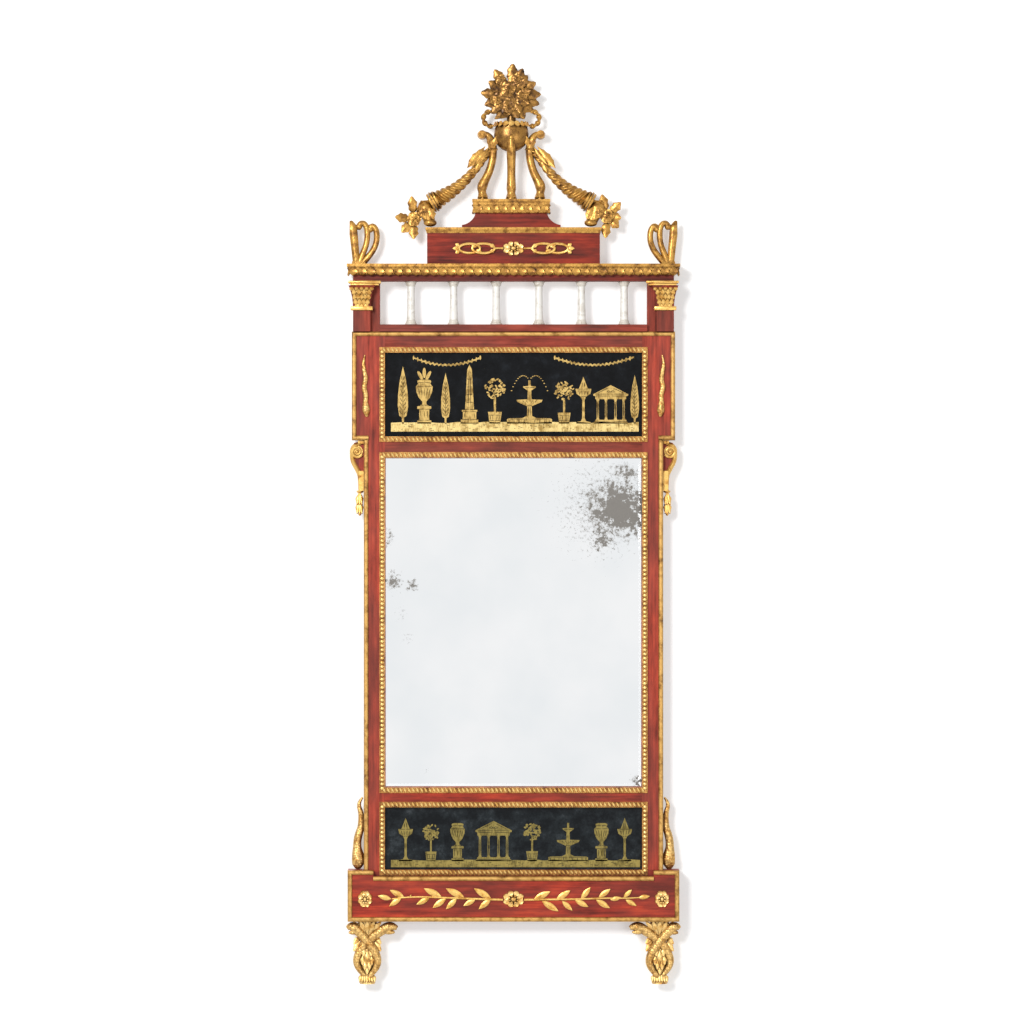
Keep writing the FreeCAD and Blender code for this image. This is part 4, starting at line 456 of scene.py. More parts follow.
def scratched_gold(name, light, dark):
    """Gold leaf seen through glass, shaded with fine slanting needle strokes."""
    gold, tree, shader = new_material(name, Metallic=0.3, Specular_IOR_Level=0.2)
    spot = node(tree, "ShaderNodeTexCoord").outputs["Object"]
    slanted = node(
        tree, "ShaderNodeMapping", {"Vector": spot, "Rotation": NEEDLE_SLANT, "Scale": NEEDLE_STROKES},
    ).outputs["Vector"]
    strokes = node(
        tree, "ShaderNodeTexNoise", {"Vector": slanted, "Scale": 1.0, "Detail": 3.0, "Roughness": 0.6},
    ).outputs["Fac"]
    shade = node(
        tree, "ShaderNodeTexNoise", {"Vector": spot, "Scale": 1 / LEAF_SHADE, "Detail": 4.0},
    ).outputs["Fac"]
    both = node(tree, "ShaderNodeMath", {0: strokes, 1: shade}, operation="ADD").outputs["Value"]
    half = node(tree, "ShaderNodeMath", {0: both, 1: 0.5}, operation="MULTIPLY").outputs["Value"]
    colour = node(
        tree, "ShaderNodeValToRGB", {"Fac": half}, ramp=[(0.40, dark), (0.54, light)],
    ).outputs["Color"]
    tree.links.new(colour, shader.inputs["Base Color"])
    dull = node(tree, "ShaderNodeMapRange", {"Value": strokes, "To Min": 0.55, "To Max": 0.35})
    tree.links.new(dull.outputs["Result"], shader.inputs["Roughness"])
    return gold


def thicken(bm, faces):
    """Give flat leaf its thickness, backwards."""
    grown = bmesh.ops.extrude_face_region(bm, geom=faces)["geom"]
    backs = [v for v in grown if isinstance(v, bmesh.types.BMVert)]
    bmesh.ops.translate(bm, vec=(0, LEAF_THICKNESS, 0), verts=backs)


def cut_shape(bm, outline, across, ground, face, size):
    """A symmetric shape of leaf from its half outline (half width, height), standing on the ground."""
    corners = [(across + w * size, ground + h * size) for w, h in outline]
    corners += [(across - w * size, ground + h * size) for w, h in reversed(outline) if w > 0]
    thicken(bm, [bm.faces.new([bm.verts.new((x, face, z)) for x, z in corners])])


def dab(bm, across, level, wide, tall, face, lean=0.0):
    """A small oval of leaf, such as foliage or a drop of water."""
    oval = bmesh.ops.create_circle(bm, cap_ends=True, segments=10, radius=1.0)["verts"]
    bmesh.ops.scale(bm, vec=(wide, tall, 1.0), verts=oval)
    bmesh.ops.rotate(bm, cent=(0, 0, 0), matrix=Matrix.Rotation(lean, 3, "Z"), verts=oval)
    bmesh.ops.rotate(bm, cent=(0, 0, 0), matrix=Matrix.Rotation(math.radians(90), 3, "X"), verts=oval)
    bmesh.ops.translate(bm, vec=(across, face, level), verts=oval)
    thicken(bm, list({f for v in oval for f in v.link_faces}))


def scratch(bm, start, end, face, width=0.42):
    """A line scratched through the leaf, black like the paint behind."""
    middle = (start + end) / 2
    way = end - start
    dab(bm, middle.x, middle.y, way.length / 2, width, face, math.atan2(way.y, way.x))


# Each motif: its half outline and the lines scratched into it, in millimetres from the middle of its foot.
URN = (
    (
        (7, 0), (7, 3), (5, 4), (5, 14), (7, 15), (7, 17), (2.2, 19), (2, 22), (5.5, 26), (8, 32), (8.4, 37),
        (6, 40), (6.8, 41.5), (6.8, 43), (4, 44),
    ),
    (
        (0, 3.4, 6.6, 3.4), (0, 14.4, 6.6, 14.4), (3.4, 5, 3.4, 13.4), (0, 6, 0, 12.6), (0, 18, 6, 17.6),
        (0, 27, 0, 36), (2.2, 27.6, 3.4, 36), (4.4, 28.4, 6.2, 36), (0, 37.4, 8, 37.4), (0, 41, 6.4, 41),
    ),
)
POPLAR = (
    ((1.2, 0), (1.2, 7), (4.2, 9), (6, 20), (5.6, 34), (3.6, 50), (0, 66)),
    tuple((0.6, 10 + 5 * k, 4.4 - 0.3 * k, 15 + 5 * k) for k in range(9)) + ((0, 9, 0, 56),),
)
TUB = (
    ((6, 0), (7.5, 12), (7.8, 13), (1.2, 13.2), (1.2, 30)),
    ((0, 3.4, 6.2, 3.4), (0, 9.4, 7, 9.4), (2.2, 4, 2.4, 9), (4.6, 4, 5, 9)),
)
OBELISK = (
    ((9, 0), (9, 4), (7, 4.5), (7, 12), (8, 12.6), (8, 14), (4.6, 14.6), (2.4, 56), (0, 61)),
    (
        (0, 4.2, 8.4, 4.2), (0, 12.3, 7.4, 12.3), (0, 14.4, 7, 14.4), (1.4, 16, 0.6, 55), (5, 6, 5, 11),
        (0, 22, 3.6, 22), (0, 30, 3.2, 30), (0, 38, 2.8, 38), (0, 46, 2.4, 46),
    ),
)
BASIN = (
    (
        (26, 0), (26, 5), (24, 6), (8, 6.4), (3, 9), (2.6, 20), (14, 25), (15, 27.5), (2.4, 28), (2, 38),
        (7, 41.5), (7.4, 43), (1.6, 43.4), (1.2, 50),
    ),
    (
        (0, 5.2, 25, 5.2), (6, 1, 6, 4.4), (12, 1, 12, 4.4), (18, 1, 18, 4.4), (23, 1, 23, 4.4),
        (1, 9, 1, 20), (2, 24, 4, 27), (6, 24, 8, 27), (0, 20.6, 3, 20.6), (0, 41.4, 6, 41.8),
    ),
)
BRAZIER = (
    (
        (8, 0), (8, 1.6), (3, 2.6), (1.4, 6), (1.3, 26), (3, 30), (7.6, 33), (8.6, 37), (8.8, 38.6), (5, 39),
        (2.2, 46), (0, 52),
    ),
    ((0, 38.4, 8, 38.4), (1.4, 31, 2, 37), (4, 32, 5.4, 37), (1.6, 40, 1, 46), (0, 30, 2.8, 30)),
)
STEPS = (((24, 0), (24, 2.6), (22.4, 2.7), (22.4, 5.4)), ((0, 2.6, 23, 2.6),))
SHAFT = (((2.3, 0), (2.3, 1.4), (1.6, 1.8), (1.4, 27), (2.2, 28.4), (2.2, 29.6)), ((0.5, 2, 0.5, 26),))
ROOF = (
    ((22, 0), (22, 4.2), (25, 5), (25, 7), (0, 20)),
    (
        (0, 4.4, 22, 4.4), (0, 7.2, 23, 7.2), (2, 16.6, 19, 8.4), (0, 10, 3, 12.6), (3, 12.6, 6, 10),
        (0, 10, 6, 10),
    ),
)


def motif(gold, black, shape, across, ground, face, size):
    """A shape of leaf with its scratched lines, drawn on both sides of the middle."""
    outline, lines = shape
    cut_shape(gold, outline, across, ground, face, size)
    for x0, z0, x1, z1 in lines:
        for side in (-1, 1):
            start = Vector((across + side * x0 * size, ground + z0 * size))
            end = Vector((across + side * x1 * size, ground + z1 * size))
            scratch(black, start, end, face - SCRATCH_PROUD)


def ball_tree(gold, black, across, ground, face, size, seed):
    """A clipped tree in a tub, its crown of small dabs."""
    chance = random.Random(seed)
    motif(gold, black, TUB, across, ground, face, size)
    radius = 11 * size
    middle = ground + 28 * size + radius
    for k in range(64):
        angle = chance.uniform(0, 2 * math.pi)
        out = radius * math.sqrt(chance.random())
        x = across + out * math.cos(angle)
        z = middle + out * math.sin(angle)
        dab(gold, x, z, 2.2, 1.3, face - 0.0006 * k, chance.uniform(-1.2, 1.2))
    for k in range(26):
        angle = chance.uniform(-2.4, 0.6)
        out = radius * math.sqrt(chance.uniform(0.2, 0.95))
        spot = Vector((across + out * math.cos(angle), middle + out * math.sin(angle)))
        scratch(black, spot, spot + Vector((2.0, 1.4)), face - TUFT_PROUD, 0.34)


def pavilion(gold, black, across, ground, face, size):
    """A garden temple of four columns under a pediment."""
    motif(gold, black, STEPS, across, ground, face, size)
    for x in (-18.5, -6.8, 6.8, 18.5):
        motif(gold, black, SHAFT, across + x * size, ground + 5.4 * size, face, size)
    motif(gold, black, ROOF, across, ground + 35 * size, face, size)


def jets(gold, across, level, face, reach, rise):
    """Drops of a fountain's two jets."""
    for side in (-1, 1):
        for k in range(11):
            share = (k + 1) / 11
            height = level + rise * (1 - (2 * share - 0.7) ** 2 / 0.9)
            dab(gold, across + side * reach * share, height, 1.2, 0.7, face)


def swag(gold, left, right, level, drop, face, seed):
    """A garland of leaves hung between two points."""
    chance = random.Random(seed)
    count = int((right - left) / 3)
    for k in range(count + 1):
        share = k / count
        z = level - drop * (1 - (2 * share - 1) ** 2)
        lean = (share - 0.5) * 2.0 + (0.6 if k % 2 else -0.6)
        dab(gold, left + (right - left) * share, z, 3.4, 1.0 + 0.5 * chance.random(), face - 0.0008 * k, lean)


def ground_strip(gold, black, low, high, bottom, top, face, seed):
    """Strip of gilt ground with a slightly uneven upper edge and scratched stones."""
    chance = random.Random(seed)
    steps = 26
    line = [(low + (high - low) * k / steps, top + chance.uniform(-1.2, 0.8)) for k in range(steps + 1)]
    corners = [(low, bottom), (high, bottom)] + line[::-1]
    thicken(gold, [gold.faces.new([gold.verts.new((x, face, z)) for x, z in corners])])
    for k in range(70):
        spot = Vector((chance.uniform(low + 3, high - 8), chance.uniform(bottom + 1.5, top - 2.5)))
        way = Vector((chance.uniform(2, 6), chance.uniform(-0.8, 0.8)))
        scratch(black, spot, spot + way, face - SCRATCH_PROUD, 0.3)


for name, colours, ground_colours, gold_colours in (
    ("upper", ("#07080a", "#0e1013", "#1d2126"), ("#e2c884", "#97793c"), ("#c8a863", "#7d612c")),
    ("lower", ("#121518", "#22272a", "#40464a"), ("#998849", "#635729"), ("#8f7f44", "#5b4f25")),
):
    solid = name + "_painted_glass"
    paint_nodes(black_glass("black_backed_glass_" + name, *colours), solid)
    low, high = box_mm(solid)
    face = low.y - 0.04
    turf = bmesh.new()
    gold = bmesh.new()
    black = bmesh.new()
    if name == "upper":
        ground = low.z + 26
        ground_strip(turf, black, -184, 188, low.z + 14, ground + 2, face, 3)
        motif(gold, black, POPLAR, -166, ground, face, 1.3)
        motif(gold, black, URN, -134, ground, face, 1.5)
        for lean, height in ((-0.5, 72), (0.0, 76), (0.5, 72)):
            dab(gold, -134 + lean * 12, ground + height, 2.6, 8.0, face, -lean)
        motif(gold, black, POPLAR, -102, ground, face, 1.15)
        motif(gold, black, OBELISK, -66, ground, face, 1.45)
        ball_tree(gold, black, -28, ground, face, 1.35, 5)
        motif(gold, black, BASIN, 24, ground, face, 1.3)
        jets(gold, 24, ground + 60, face, 27, 12)
        ball_tree(gold, black, 76, ground, face, 1.25, 8)
        motif(gold, black, BRAZIER, 105, ground, face, 1.35)
        pavilion(gold, black, 146, ground, face, 1.05)
        motif(gold, black, POPLAR, 182, ground, face, 1.1)
        swag(gold, -150, -50, high.z - 14, 11, face, 4)
        swag(gold, 62, 178, high.z - 14, 11, face, 6)
    else:
        ground = low.z + 19
        ground_strip(turf, black, -184, 190, low.z + 10, ground + 2, face, 12)
        motif(gold, black, BRAZIER, -162, ground, face, 1.25)
        ball_tree(gold, black, -124, ground, face, 1.1, 15)
        motif(gold, black, URN, -84, ground, face, 1.3)
        pavilion(gold, black, -30, ground, face, 1.1)
        ball_tree(gold, black, 28, ground, face, 1.15, 17)
        motif(gold, black, BASIN, 82, ground, face, 1.15)
        motif(gold, black, URN, 132, ground, face, 1.3)
        motif(gold, black, BRAZIER, 167, ground, face, 1.25)
    turf_leaf = scratched_gold("gold_ground_behind_glass_" + name, *ground_colours)
    finish(turf, name + "_panel_ground", turf_leaf, slot="painted_glass", smooth=False)
    motif_leaf = scratched_gold("gold_leaf_behind_glass_" + name, *gold_colours)
    finish(gold, name + "_panel_gold", motif_leaf, slot="painted_glass", smooth=False)
    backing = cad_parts[solid].data.materials[0]
    finish(black, name + "_panel_lines", backing, slot="painted_glass", smooth=False)

# Back of the frame: glazing blocks, three backboards, their nails and the dowels of the storeys.
# Bare pine, sawn and darkened with age; the nails are cut iron, driven flush.

# Stretch of the grain along the boards, and size of the scale on the iron in metres.
PINE_GRAIN = (4, 120, 120)
IRON_SCALE = 0.002

pine, tree, shader = new_material("aged_bare_pine", Specular_IOR_Level=0.25)
spot = node(tree, "ShaderNodeTexCoord").outputs["Object"]
grain = node(
    tree, "ShaderNodeTexNoise",
    {
        "Vector": node(tree, "ShaderNodeMapping", {"Vector": spot, "Scale": PINE_GRAIN}).outputs["Vector"],
        "Scale": 1.0, "Detail": 6.0, "Roughness": 0.6, "Distortion": 0.6,
    },
).outputs["Fac"]
wood = node(tree, "ShaderNodeValToRGB", {"Fac": grain}, ramp=BARE_WOOD).outputs["Color"]
tree.links.new(wood, shader.inputs["Base Color"])
sawn = node(tree, "ShaderNodeMapRange", {"Value": grain, "To Min": 0.65, "To Max": 0.9})
tree.links.new(sawn.outputs["Result"], shader.inputs["Roughness"])
relief = node(tree, "ShaderNodeBump", {"Height": grain, "Strength": 0.4, "Distance": 0.0008})
tree.links.new(relief.outputs["Normal"], shader.inputs["Normal"])
paint_nodes(pine, "glazing_blocks", "upper_backboard", "mirror_backboard", "lower_backboard", "dowels")

iron, tree, shader = new_material("forged_iron", Metallic=0.9)
spot = node(tree, "ShaderNodeTexCoord").outputs["Object"]
scale_marks = node(
    tree, "ShaderNodeTexNoise", {"Vector": spot, "Scale": 1 / IRON_SCALE, "Detail": 4.0, "Roughness": 0.6},
).outputs["Fac"]
dark_iron = node(
    tree, "ShaderNodeValToRGB", {"Fac": scale_marks},
    ramp=[(0.35, "#2a2725"), (0.6, "#4b4743"), (0.75, "#5e4634")],
).outputs["Color"]
tree.links.new(dark_iron, shader.inputs["Base Color"])
dull = node(tree, "ShaderNodeMapRange", {"Value": scale_marks, "To Min": 0.35, "To Max": 0.75})
tree.links.new(dull.outputs["Result"], shader.inputs["Roughness"])
paint_nodes(
    iron, "backboard_nails", "hanger_straps", "hanger_screws", "left_hanging_ring", "right_hanging_ring",
)

# Gallery columns: six turned alabaster shafts between turned caps and bases with spigots.
# White stone, faintly clouded and polished; the caps and bases are greyer.

STONE_CLOUD = 0.014


def alabaster(name, pale, vein):
    """Polished stone, clouded with faint veins."""
    stone, tree, shader = new_material(name, Coat_Weight=0.2, Coat_Roughness=0.2)
    spot = node(tree, "ShaderNodeTexCoord").outputs["Object"]
    cloud = node(
        tree, "ShaderNodeTexNoise",
        {"Vector": spot, "Scale": 1 / STONE_CLOUD, "Detail": 5.0, "Roughness": 0.55, "Distortion": 1.2},
    ).outputs["Fac"]
    colour = node(
        tree, "ShaderNodeValToRGB", {"Fac": cloud}, ramp=[(0.34, vein), (0.5, pale), (1.0, pale)],
    ).outputs["Color"]
    tree.links.new(colour, shader.inputs["Base Color"])
    polish = node(tree, "ShaderNodeMapRange", {"Value": cloud, "To Min": 0.22, "To Max": 0.42})
    tree.links.new(polish.outputs["Result"], shader.inputs["Roughness"])
    return stone


paint_nodes(alabaster("alabaster_shaft", "#ebe8e1", "#d3cdc2"), "column_shafts")
paint_nodes(alabaster("alabaster_cap", "#d8d1c5", "#b0a696"), "column_bases", "column_caps")

# Post capitals: a bell painted red behind a gilt basket of steps with three rows of small curling leaves.
# A row of bosses closes it under a moulded gilt abacus; all in limewood, glued to the front of the post.

FORWARD = Vector((0, -1, 0))


def leaf(
    bm, root, tip, half_width, ridge=1.0, curl=0.0, lobes=0, swell=0.5, front=FORWARD, thick=1.0, point=0.95,
):
    """A carved leaf from root to tip: widest at swell, ridged along its middle, its tip curling forward."""
    way = tip - root
    across = way.cross(front).normalized()
    out = across.cross(way).normalized()
    if out.dot(front) < 0:
        out = -out
    grid = bmesh.ops.create_grid(bm, x_segments=4, y_segments=12 if lobes else 7, size=1.0)["verts"]
    for vert in grid:
        side = vert.co.x
        share = (vert.co.y + 1) / 2
        shape = max(math.sin(math.pi * share ** (math.log(0.5) / math.log(swell))), 0.0) ** point
        width = half_width * max(shape, 0.05)
        if lobes:
            width *= 1 + 0.14 * math.cos(2 * math.pi * lobes * share)
        groove = 0.45 if abs(side) < 0.1 else 0.0
        rise = ridge * max(shape, 0.2) * (1 - abs(side) - groove)
        rise += curl * max(share - 0.55, 0) ** 2 * 4
        vert.co = root + way * share + across * (side * width) + out * rise
    faces = list({f for v in grid for f in v.link_faces})
    bmesh.ops.recalc_face_normals(bm, faces=faces)
    if sum(f.normal.dot(out) for f in faces) < 0:
        bmesh.ops.reverse_faces(bm, faces=faces)
    bmesh.ops.solidify(bm, geom=faces, thickness=thick)


def mirrored_copy(bm, middle=0.0):
    """Add the mirror image of all that is in the mesh, across the plane x = middle."""
    geom = list(bm.verts) + list(bm.edges) + list(bm.faces)
    copy = bmesh.ops.duplicate(bm, geom=geom)["geom"]
    verts = [v for v in copy if isinstance(v, bmesh.types.BMVert)]
    bmesh.ops.scale(bm, vec=(-1, 1, 1), verts=verts)
    bmesh.ops.translate(bm, vec=(2 * middle, 0, 0), verts=verts)
    bmesh.ops.reverse_faces(bm, faces=[f for f in copy if isinstance(f, bmesh.types.BMFace)])


PILASTER_WIDTH = 26.0
ABACUS_HEIGHT = 7.0
ABACUS_WIDTH = 49.0
BELL_DEPTH = 9.0
FLARE_CURVE = 2.4
NECKING_HALF = 16.5
low, high = box_mm("post_capitals")
half = PILASTER_WIDTH / 2
middle = box_mm("left_post")[0].x + half
seat = high.y
foot = low.z
abacus_low = high.z - ABACUS_HEIGHT
bm = bmesh.new()
slab(bm, (middle - half, seat - BELL_DEPTH, foot), (middle + half, seat, abacus_low))
bmesh.ops.subdivide_edges(
    bm, edges=[e for e in bm.edges if abs(e.verts[0].co.z - e.verts[1].co.z) > 1], cuts=6,
)
for vert in bm.verts:
    share = (vert.co.z - foot) / (abacus_low - foot)
    flare = share ** FLARE_CURVE
    vert.co.x = middle + (vert.co.x - middle) * (1 + 0.5 * flare)
    if vert.co.y < seat - 1:
        vert.co.y = seat - BELL_DEPTH * (1 + 0.8 * flare)
mirrored_copy(bm)
finish(bm, "capital_bells", red_post, "post_capitals", slot="red_paint")

bm = bmesh.new()
for inset, ahead, bottom, top in (
    (0, 2, abacus_low + 3, high.z),
    (2, 0.1, abacus_low + 4.4, high.z - 1.2),
    (3, 3.5, abacus_low, abacus_low + 3),
):
    slab(bm, (low.x + inset, low.y + ahead, bottom), (low.x + ABACUS_WIDTH - inset, seat, top))
slab(bm, (middle - NECKING_HALF, seat - 12, foot), (middle + NECKING_HALF, seat, foot + 6))
bmesh.ops.bevel(
    bm, geom=list(bm.edges), offset=1.1, segments=2, profile=0.5, affect="EDGES", material=-1,
)
for level, reach, ahead in ((6, 10, 10.5), (13, 10.5, 11), (20, 11.5, 12.2), (27, 13.5, 14)):
    slab(bm, (middle - reach, seat - ahead, foot + level), (middle + reach, seat - 6, foot + level + 7))
for level, tall, ahead, places in (
    (6, 11, 11.5, (-8.4, -2.8, 2.8, 8.4)),
    (13, 11, 12.2, (-9.6, -4.8, 0, 4.8, 9.6)),
    (20, 11.5, 13.6, (-10.6, -3.6, 3.6, 10.6)),
):
    for x in places:
        root = Vector((middle + x, seat - ahead + 1, foot + level))
        tip = root + Vector((x * 0.14, -3, tall))
        leaf(bm, root, tip, 3.2, 2.4, 2.6, lobes=2, swell=0.6, thick=1.4, point=0.7)
for x in (-15, -7.6, 0, 7.6, 15):
    boss(bm, (middle + x, seat - 14.5, foot + 32), (7, 6, 6), sides=12, rings=8)
    boss(bm, (middle + x, seat - 17, foot + 32), (3.2, 4, 3.0))
mirrored_copy(bm)
finish(bm, "capital_carving", bright_gilding)

# Cornice and plinth moulding: run mouldings in limewood, carved with a row of hanging leaf tips and darts.
# The plain runs are the solids; the carving is planted along their hollows.

paint_nodes(toned_gilding, "cornice_moulding", "attic_moulding", "plinth_moulding")


def leaf_tips(bm, start, end, pitch, tall, rise, top):
    """Tongues with a rolled rim hanging from a level, with a dart between each two; the row faces out."""
    way = end - start
    count = max(round(way.length / pitch), 1)
    step = way / count
    out = Vector((0, 0, 1)).cross(way).normalized() * -1
    turn = Matrix.Rotation(math.atan2(way.y, way.x), 3, "Z")
    for k in range(count):
        spot = start + step * (k + 0.5)
        crown = Vector((spot.x, spot.y, top))
        leaf(
            bm, crown + out * rise * 0.6, crown + out * rise * 0.8 - Vector((0, 0, tall)), pitch * 0.45,
            -0.9, 1.6, swell=0.6, front=out, thick=2.2, point=0.5,
        )
        boss(bm, crown + out * rise - Vector((0, 0, 1.6)), (pitch * 0.66, 2.0, 2.2), turn)
        seam = start + step * k
        dart = Vector((seam.x, seam.y, top - tall * 0.75)) + out * rise * 0.5
        boss(bm, dart, (pitch * 0.2, 2.4, tall * 0.45), turn, sides=6)


def trim(bm, **limits):
    """Cut back what stands out past the limits, given as x, y or z = (least, most)."""
    for vert in bm.verts:
        for axis, (least, most) in limits.items():
            setattr(vert.co, axis, min(max(getattr(vert.co, axis), least), most))


SPARE = 0.2
for name, inset, pitch, tall, rise, drop in (
    ("cornice", 3.2, 13.4, 11.4, 2.4, 5.0), ("plinth", 2.4, 12.4, 13.4, 2.2, 7.0),
):
    low, high = box_mm(name + "_moulding")
    bm = bmesh.new()
    corners = [
        Vector((low.x + inset, high.y - 1, 0)), Vector((low.x + inset, low.y + inset, 0)),
        Vector((high.x - inset, low.y + inset, 0)), Vector((high.x - inset, high.y - 1, 0)),
    ]
    for start, end in zip(corners, corners[1:]):
        leaf_tips(bm, start, end, pitch, tall, rise, high.z - drop)
    if name == "cornice":
        trim(bm, x=(low.x + SPARE, high.x - SPARE))
    finish(bm, name + "_carving", toned_gilding)

# Tripod: three hoofed legs, a round bowl with a wavy rim, scrolls and rope rings.
# Carved limewood, glued up, the legs tenoned into the plinth, all water gilt.


def swept(bm, line, radii, sides=10, flat=1.0, twist=0.0, flutes=0, depth=0.12):
    """A carved bar along a smooth line, with a radius at each point; flutes wind round it by twist."""
    curve = bpy.data.curves.new("bar", "CURVE")
    curve.dimensions = "3D"
    curve.twist_mode = "MINIMUM"
    curve.resolution_u = 12 if flutes else 6
    curve.use_fill_caps = True
    spline = curve.splines.new("NURBS")
    spline.points.add(len(line) - 1)
    for k, (point, spot, radius) in enumerate(zip(spline.points, line, radii)):
        point.co = (*spot, 1.0)
        point.radius = radius
        point.tilt = twist * k
    spline.order_u = 3
    spline.use_endpoint_u = True
    section = bpy.data.curves.new("section", "CURVE")
    section.dimensions = "2D"
    ring = section.splines.new("POLY")
    ring.points.add(sides - 1)
    ring.use_cyclic_u = True
    for k, point in enumerate(ring.points):
        angle = 2 * math.pi * k / sides
        reach = 1 + depth * math.cos(flutes * angle) if flutes else 1.0
        point.co = (reach * math.cos(angle), reach * math.sin(angle), 0, 1)
    section_object = bpy.data.objects.new("section", section)
    curve.bevel_mode = "OBJECT"
    curve.bevel_object = section_object
    bar = bpy.data.objects.new("bar", curve)
    bpy.context.collection.objects.link(bar)
    bpy.context.collection.objects.link(section_object)
    bpy.context.view_layer.update()
    mesh = bpy.data.meshes.new_from_object(bar.evaluated_get(bpy.context.evaluated_depsgraph_get()))
    before = set(bm.verts)
    bm.from_mesh(mesh)
    fresh = [v for v in bm.verts if v not in before]
    middle = sum(spot[1] for spot in line) / len(line)
    for vert in fresh:
        vert.co.y = middle + (vert.co.y - middle) * flat
    bmesh.ops.remove_doubles(bm, verts=fresh, dist=0.01)
    bpy.data.objects.remove(bar)
    bpy.data.objects.remove(section_object)
    bpy.data.curves.remove(curve)
    bpy.data.curves.remove(section)
    bpy.data.meshes.remove(mesh)


def rod(bm, root, table, **shape):
    """A swept bar in the plane of the front, from a table of (across, up, radius) beside a root point."""
    swept(bm, [root + Vector((x, 0, z)) for x, z, _ in table], [radius for _, _, radius in table], **shape)


def upright_disc(bm, centre, radius, end_radius, thick, segments):
    """A turned disc whose flat faces the front."""
    disc = bmesh.ops.create_cone(
        bm, cap_ends=True, segments=segments, radius1=radius, radius2=end_radius, depth=thick,
    )["verts"]
    bmesh.ops.rotate(bm, cent=(0, 0, 0), matrix=Matrix.Rotation(math.radians(90), 3, "X"), verts=disc)
    bmesh.ops.translate(bm, vec=centre, verts=disc)


plinth_low, plinth_high = box_mm("crest_plinth")
bowl_low, bowl_high = box_mm("bowl")
crest_x = (plinth_low.x + plinth_high.x) / 2
crest_y = (plinth_low.y + plinth_high.y) / 2
stand = plinth_high.z
crest = Vector((crest_x, crest_y, stand))

bm = bmesh.new()
LEG = (
    (-42.7, 0, 8.0), (-42.9, 4, 8.2), (-43.6, 11, 5.6), (-44.2, 17, 7.6), (-43.0, 23, 7.8), (-38.2, 32, 6.6),
    (-32.5, 44, 6.2), (-28.6, 58, 5.8), (-27.2, 70, 6.0), (-28.4, 82, 6.8), (-31, 92, 5.8), (-38, 99, 4.8),
    (-44, 98.5, 4.4),
)
HOOF_AND_KNEE = (
    (-46.6, 20, (8, 11, 11)), (-40.6, 26, (8, 10, 12)), (-46.4, 3.4, (9, 15, 7)), (-39.4, 3.4, (9, 15, 7)),
)
rod(bm, crest, LEG, sides=12)
for radius, thick in ((7.4, 10), (4.8, 12.5), (2.4, 14.5)):
    upright_disc(bm, crest + Vector((-43.9, 0, 98)), radius, radius * 0.82, thick, 18)
for x, up, size in HOOF_AND_KNEE:
    boss(bm, crest + Vector((x, -2, up)), size, sides=12, rings=8)
collar = crest + Vector((-28.2, 0, 75.7))
boss(bm, collar, (17, 15, 6), sides=12)
for x in (-4, 4):
    root = collar + Vector((x * 0.4, -6, 2))
    leaf(bm, root, collar + Vector((x * 1.6, -7.5, 20)), 4.2, 1.6, 2.0, lobes=2)
mirrored_copy(bm, crest_x)
finish(bm, "tripod_side_legs", toned_gilding, "side_legs")

bm = bmesh.new()
FRONT_LEG = (
    (-6.6, 0, 8.6), (-6.4, 4, 8.2), (-6.6, 10, 5.8), (-6.8, 15.5, 7.4), (-7, 22, 7), (-8, 34, 6.2),
    (-10, 53, 6.4), (-13, 70, 7.2), (-16, 82.5, 6.2), (-17.2, 90, 4.4),
)
line = [crest + Vector((0, ahead, up)) for ahead, up, _ in FRONT_LEG]
swept(bm, line, [radius for _, _, radius in FRONT_LEG])
for x, up, size in ((3.4, 3.4, (8, 14, 7)), (3, 18, (7, 14, 9))):
    for side in (-1, 1):
        boss(bm, crest + Vector((side * x, -8.5, up)), size, sides=12, rings=8)
boss(bm, crest + Vector((0, -17.6, 92)), (6, 5, 9))
finish(bm, "tripod_front_leg", toned_gilding, "front_leg")

# Bowl and bouquet: a darker copy of the gilding as painted shade, its painted shade in the hollows reaching
# furthest.
deep_shade_gilding = gilding(
    "water_gilding_deep_shade", "#956b2e", "#6d491c", "#241304", 0.28, wear=0.5, hollows=0.018,
)
bm = bmesh.new()
BOWL_PROFILE = (
    (0.5, 0.0), (6.0, 0.4), (14.0, 4.0), (20.5, 9.5), (25.0, 18.0), (26.2, 26.0), (25.0, 35.0), (23.0, 40.5),
    (24.4, 43.0), (22.0, 43.6), (19.0, 41.0), (10.0, 39.5), (0.5, 39.0),
)
BOWL_FLATNESS = 0.68
RIM_LEVEL = 42
RIM_WAVE = 1.6
BACK = -6.5
foot = bowl_low.z
points = [bm.verts.new((crest_x + radius, crest_y, foot + height)) for radius, height in BOWL_PROFILE]
edges = [bm.edges.new(pair) for pair in zip(points, points[1:])]
bmesh.ops.spin(
    bm, geom=points + edges, cent=(crest_x, crest_y, 0), axis=(0, 0, 1), angle=2 * math.pi, steps=40,
    use_merge=True,
)
bmesh.ops.holes_fill(bm, edges=[e for e in bm.edges if e.is_boundary], sides=60)
for vert in bm.verts:
    angle = math.atan2(vert.co.y - crest_y, vert.co.x - crest_x)
    vert.co.y = crest_y + (vert.co.y - crest_y) * BOWL_FLATNESS
    if vert.co.z > foot + RIM_LEVEL:
        vert.co.z += RIM_WAVE * math.cos(10 * angle)
trim(bm, y=(-math.inf, BACK))
finish(bm, "tripod_bowl", deep_shade_gilding, "bowl")

bm = bmesh.new()
for k in range(9):
    angle = math.pi * (1 + (k + 0.5) / 9)
    out = Vector((math.cos(angle), 0.76 * math.sin(angle), 0))
    edge = Vector((crest_x, crest_y, foot + 46)) + out * 24.2
    tip = edge + out * 3.6 - Vector((0, 0, 9.0))
    leaf(bm, edge, tip, 4.6, 1.6, 2.6, swell=0.45, front=out.normalized(), thick=1.4, point=0.6)
finish(bm, "bowl_lip", bright_gilding)

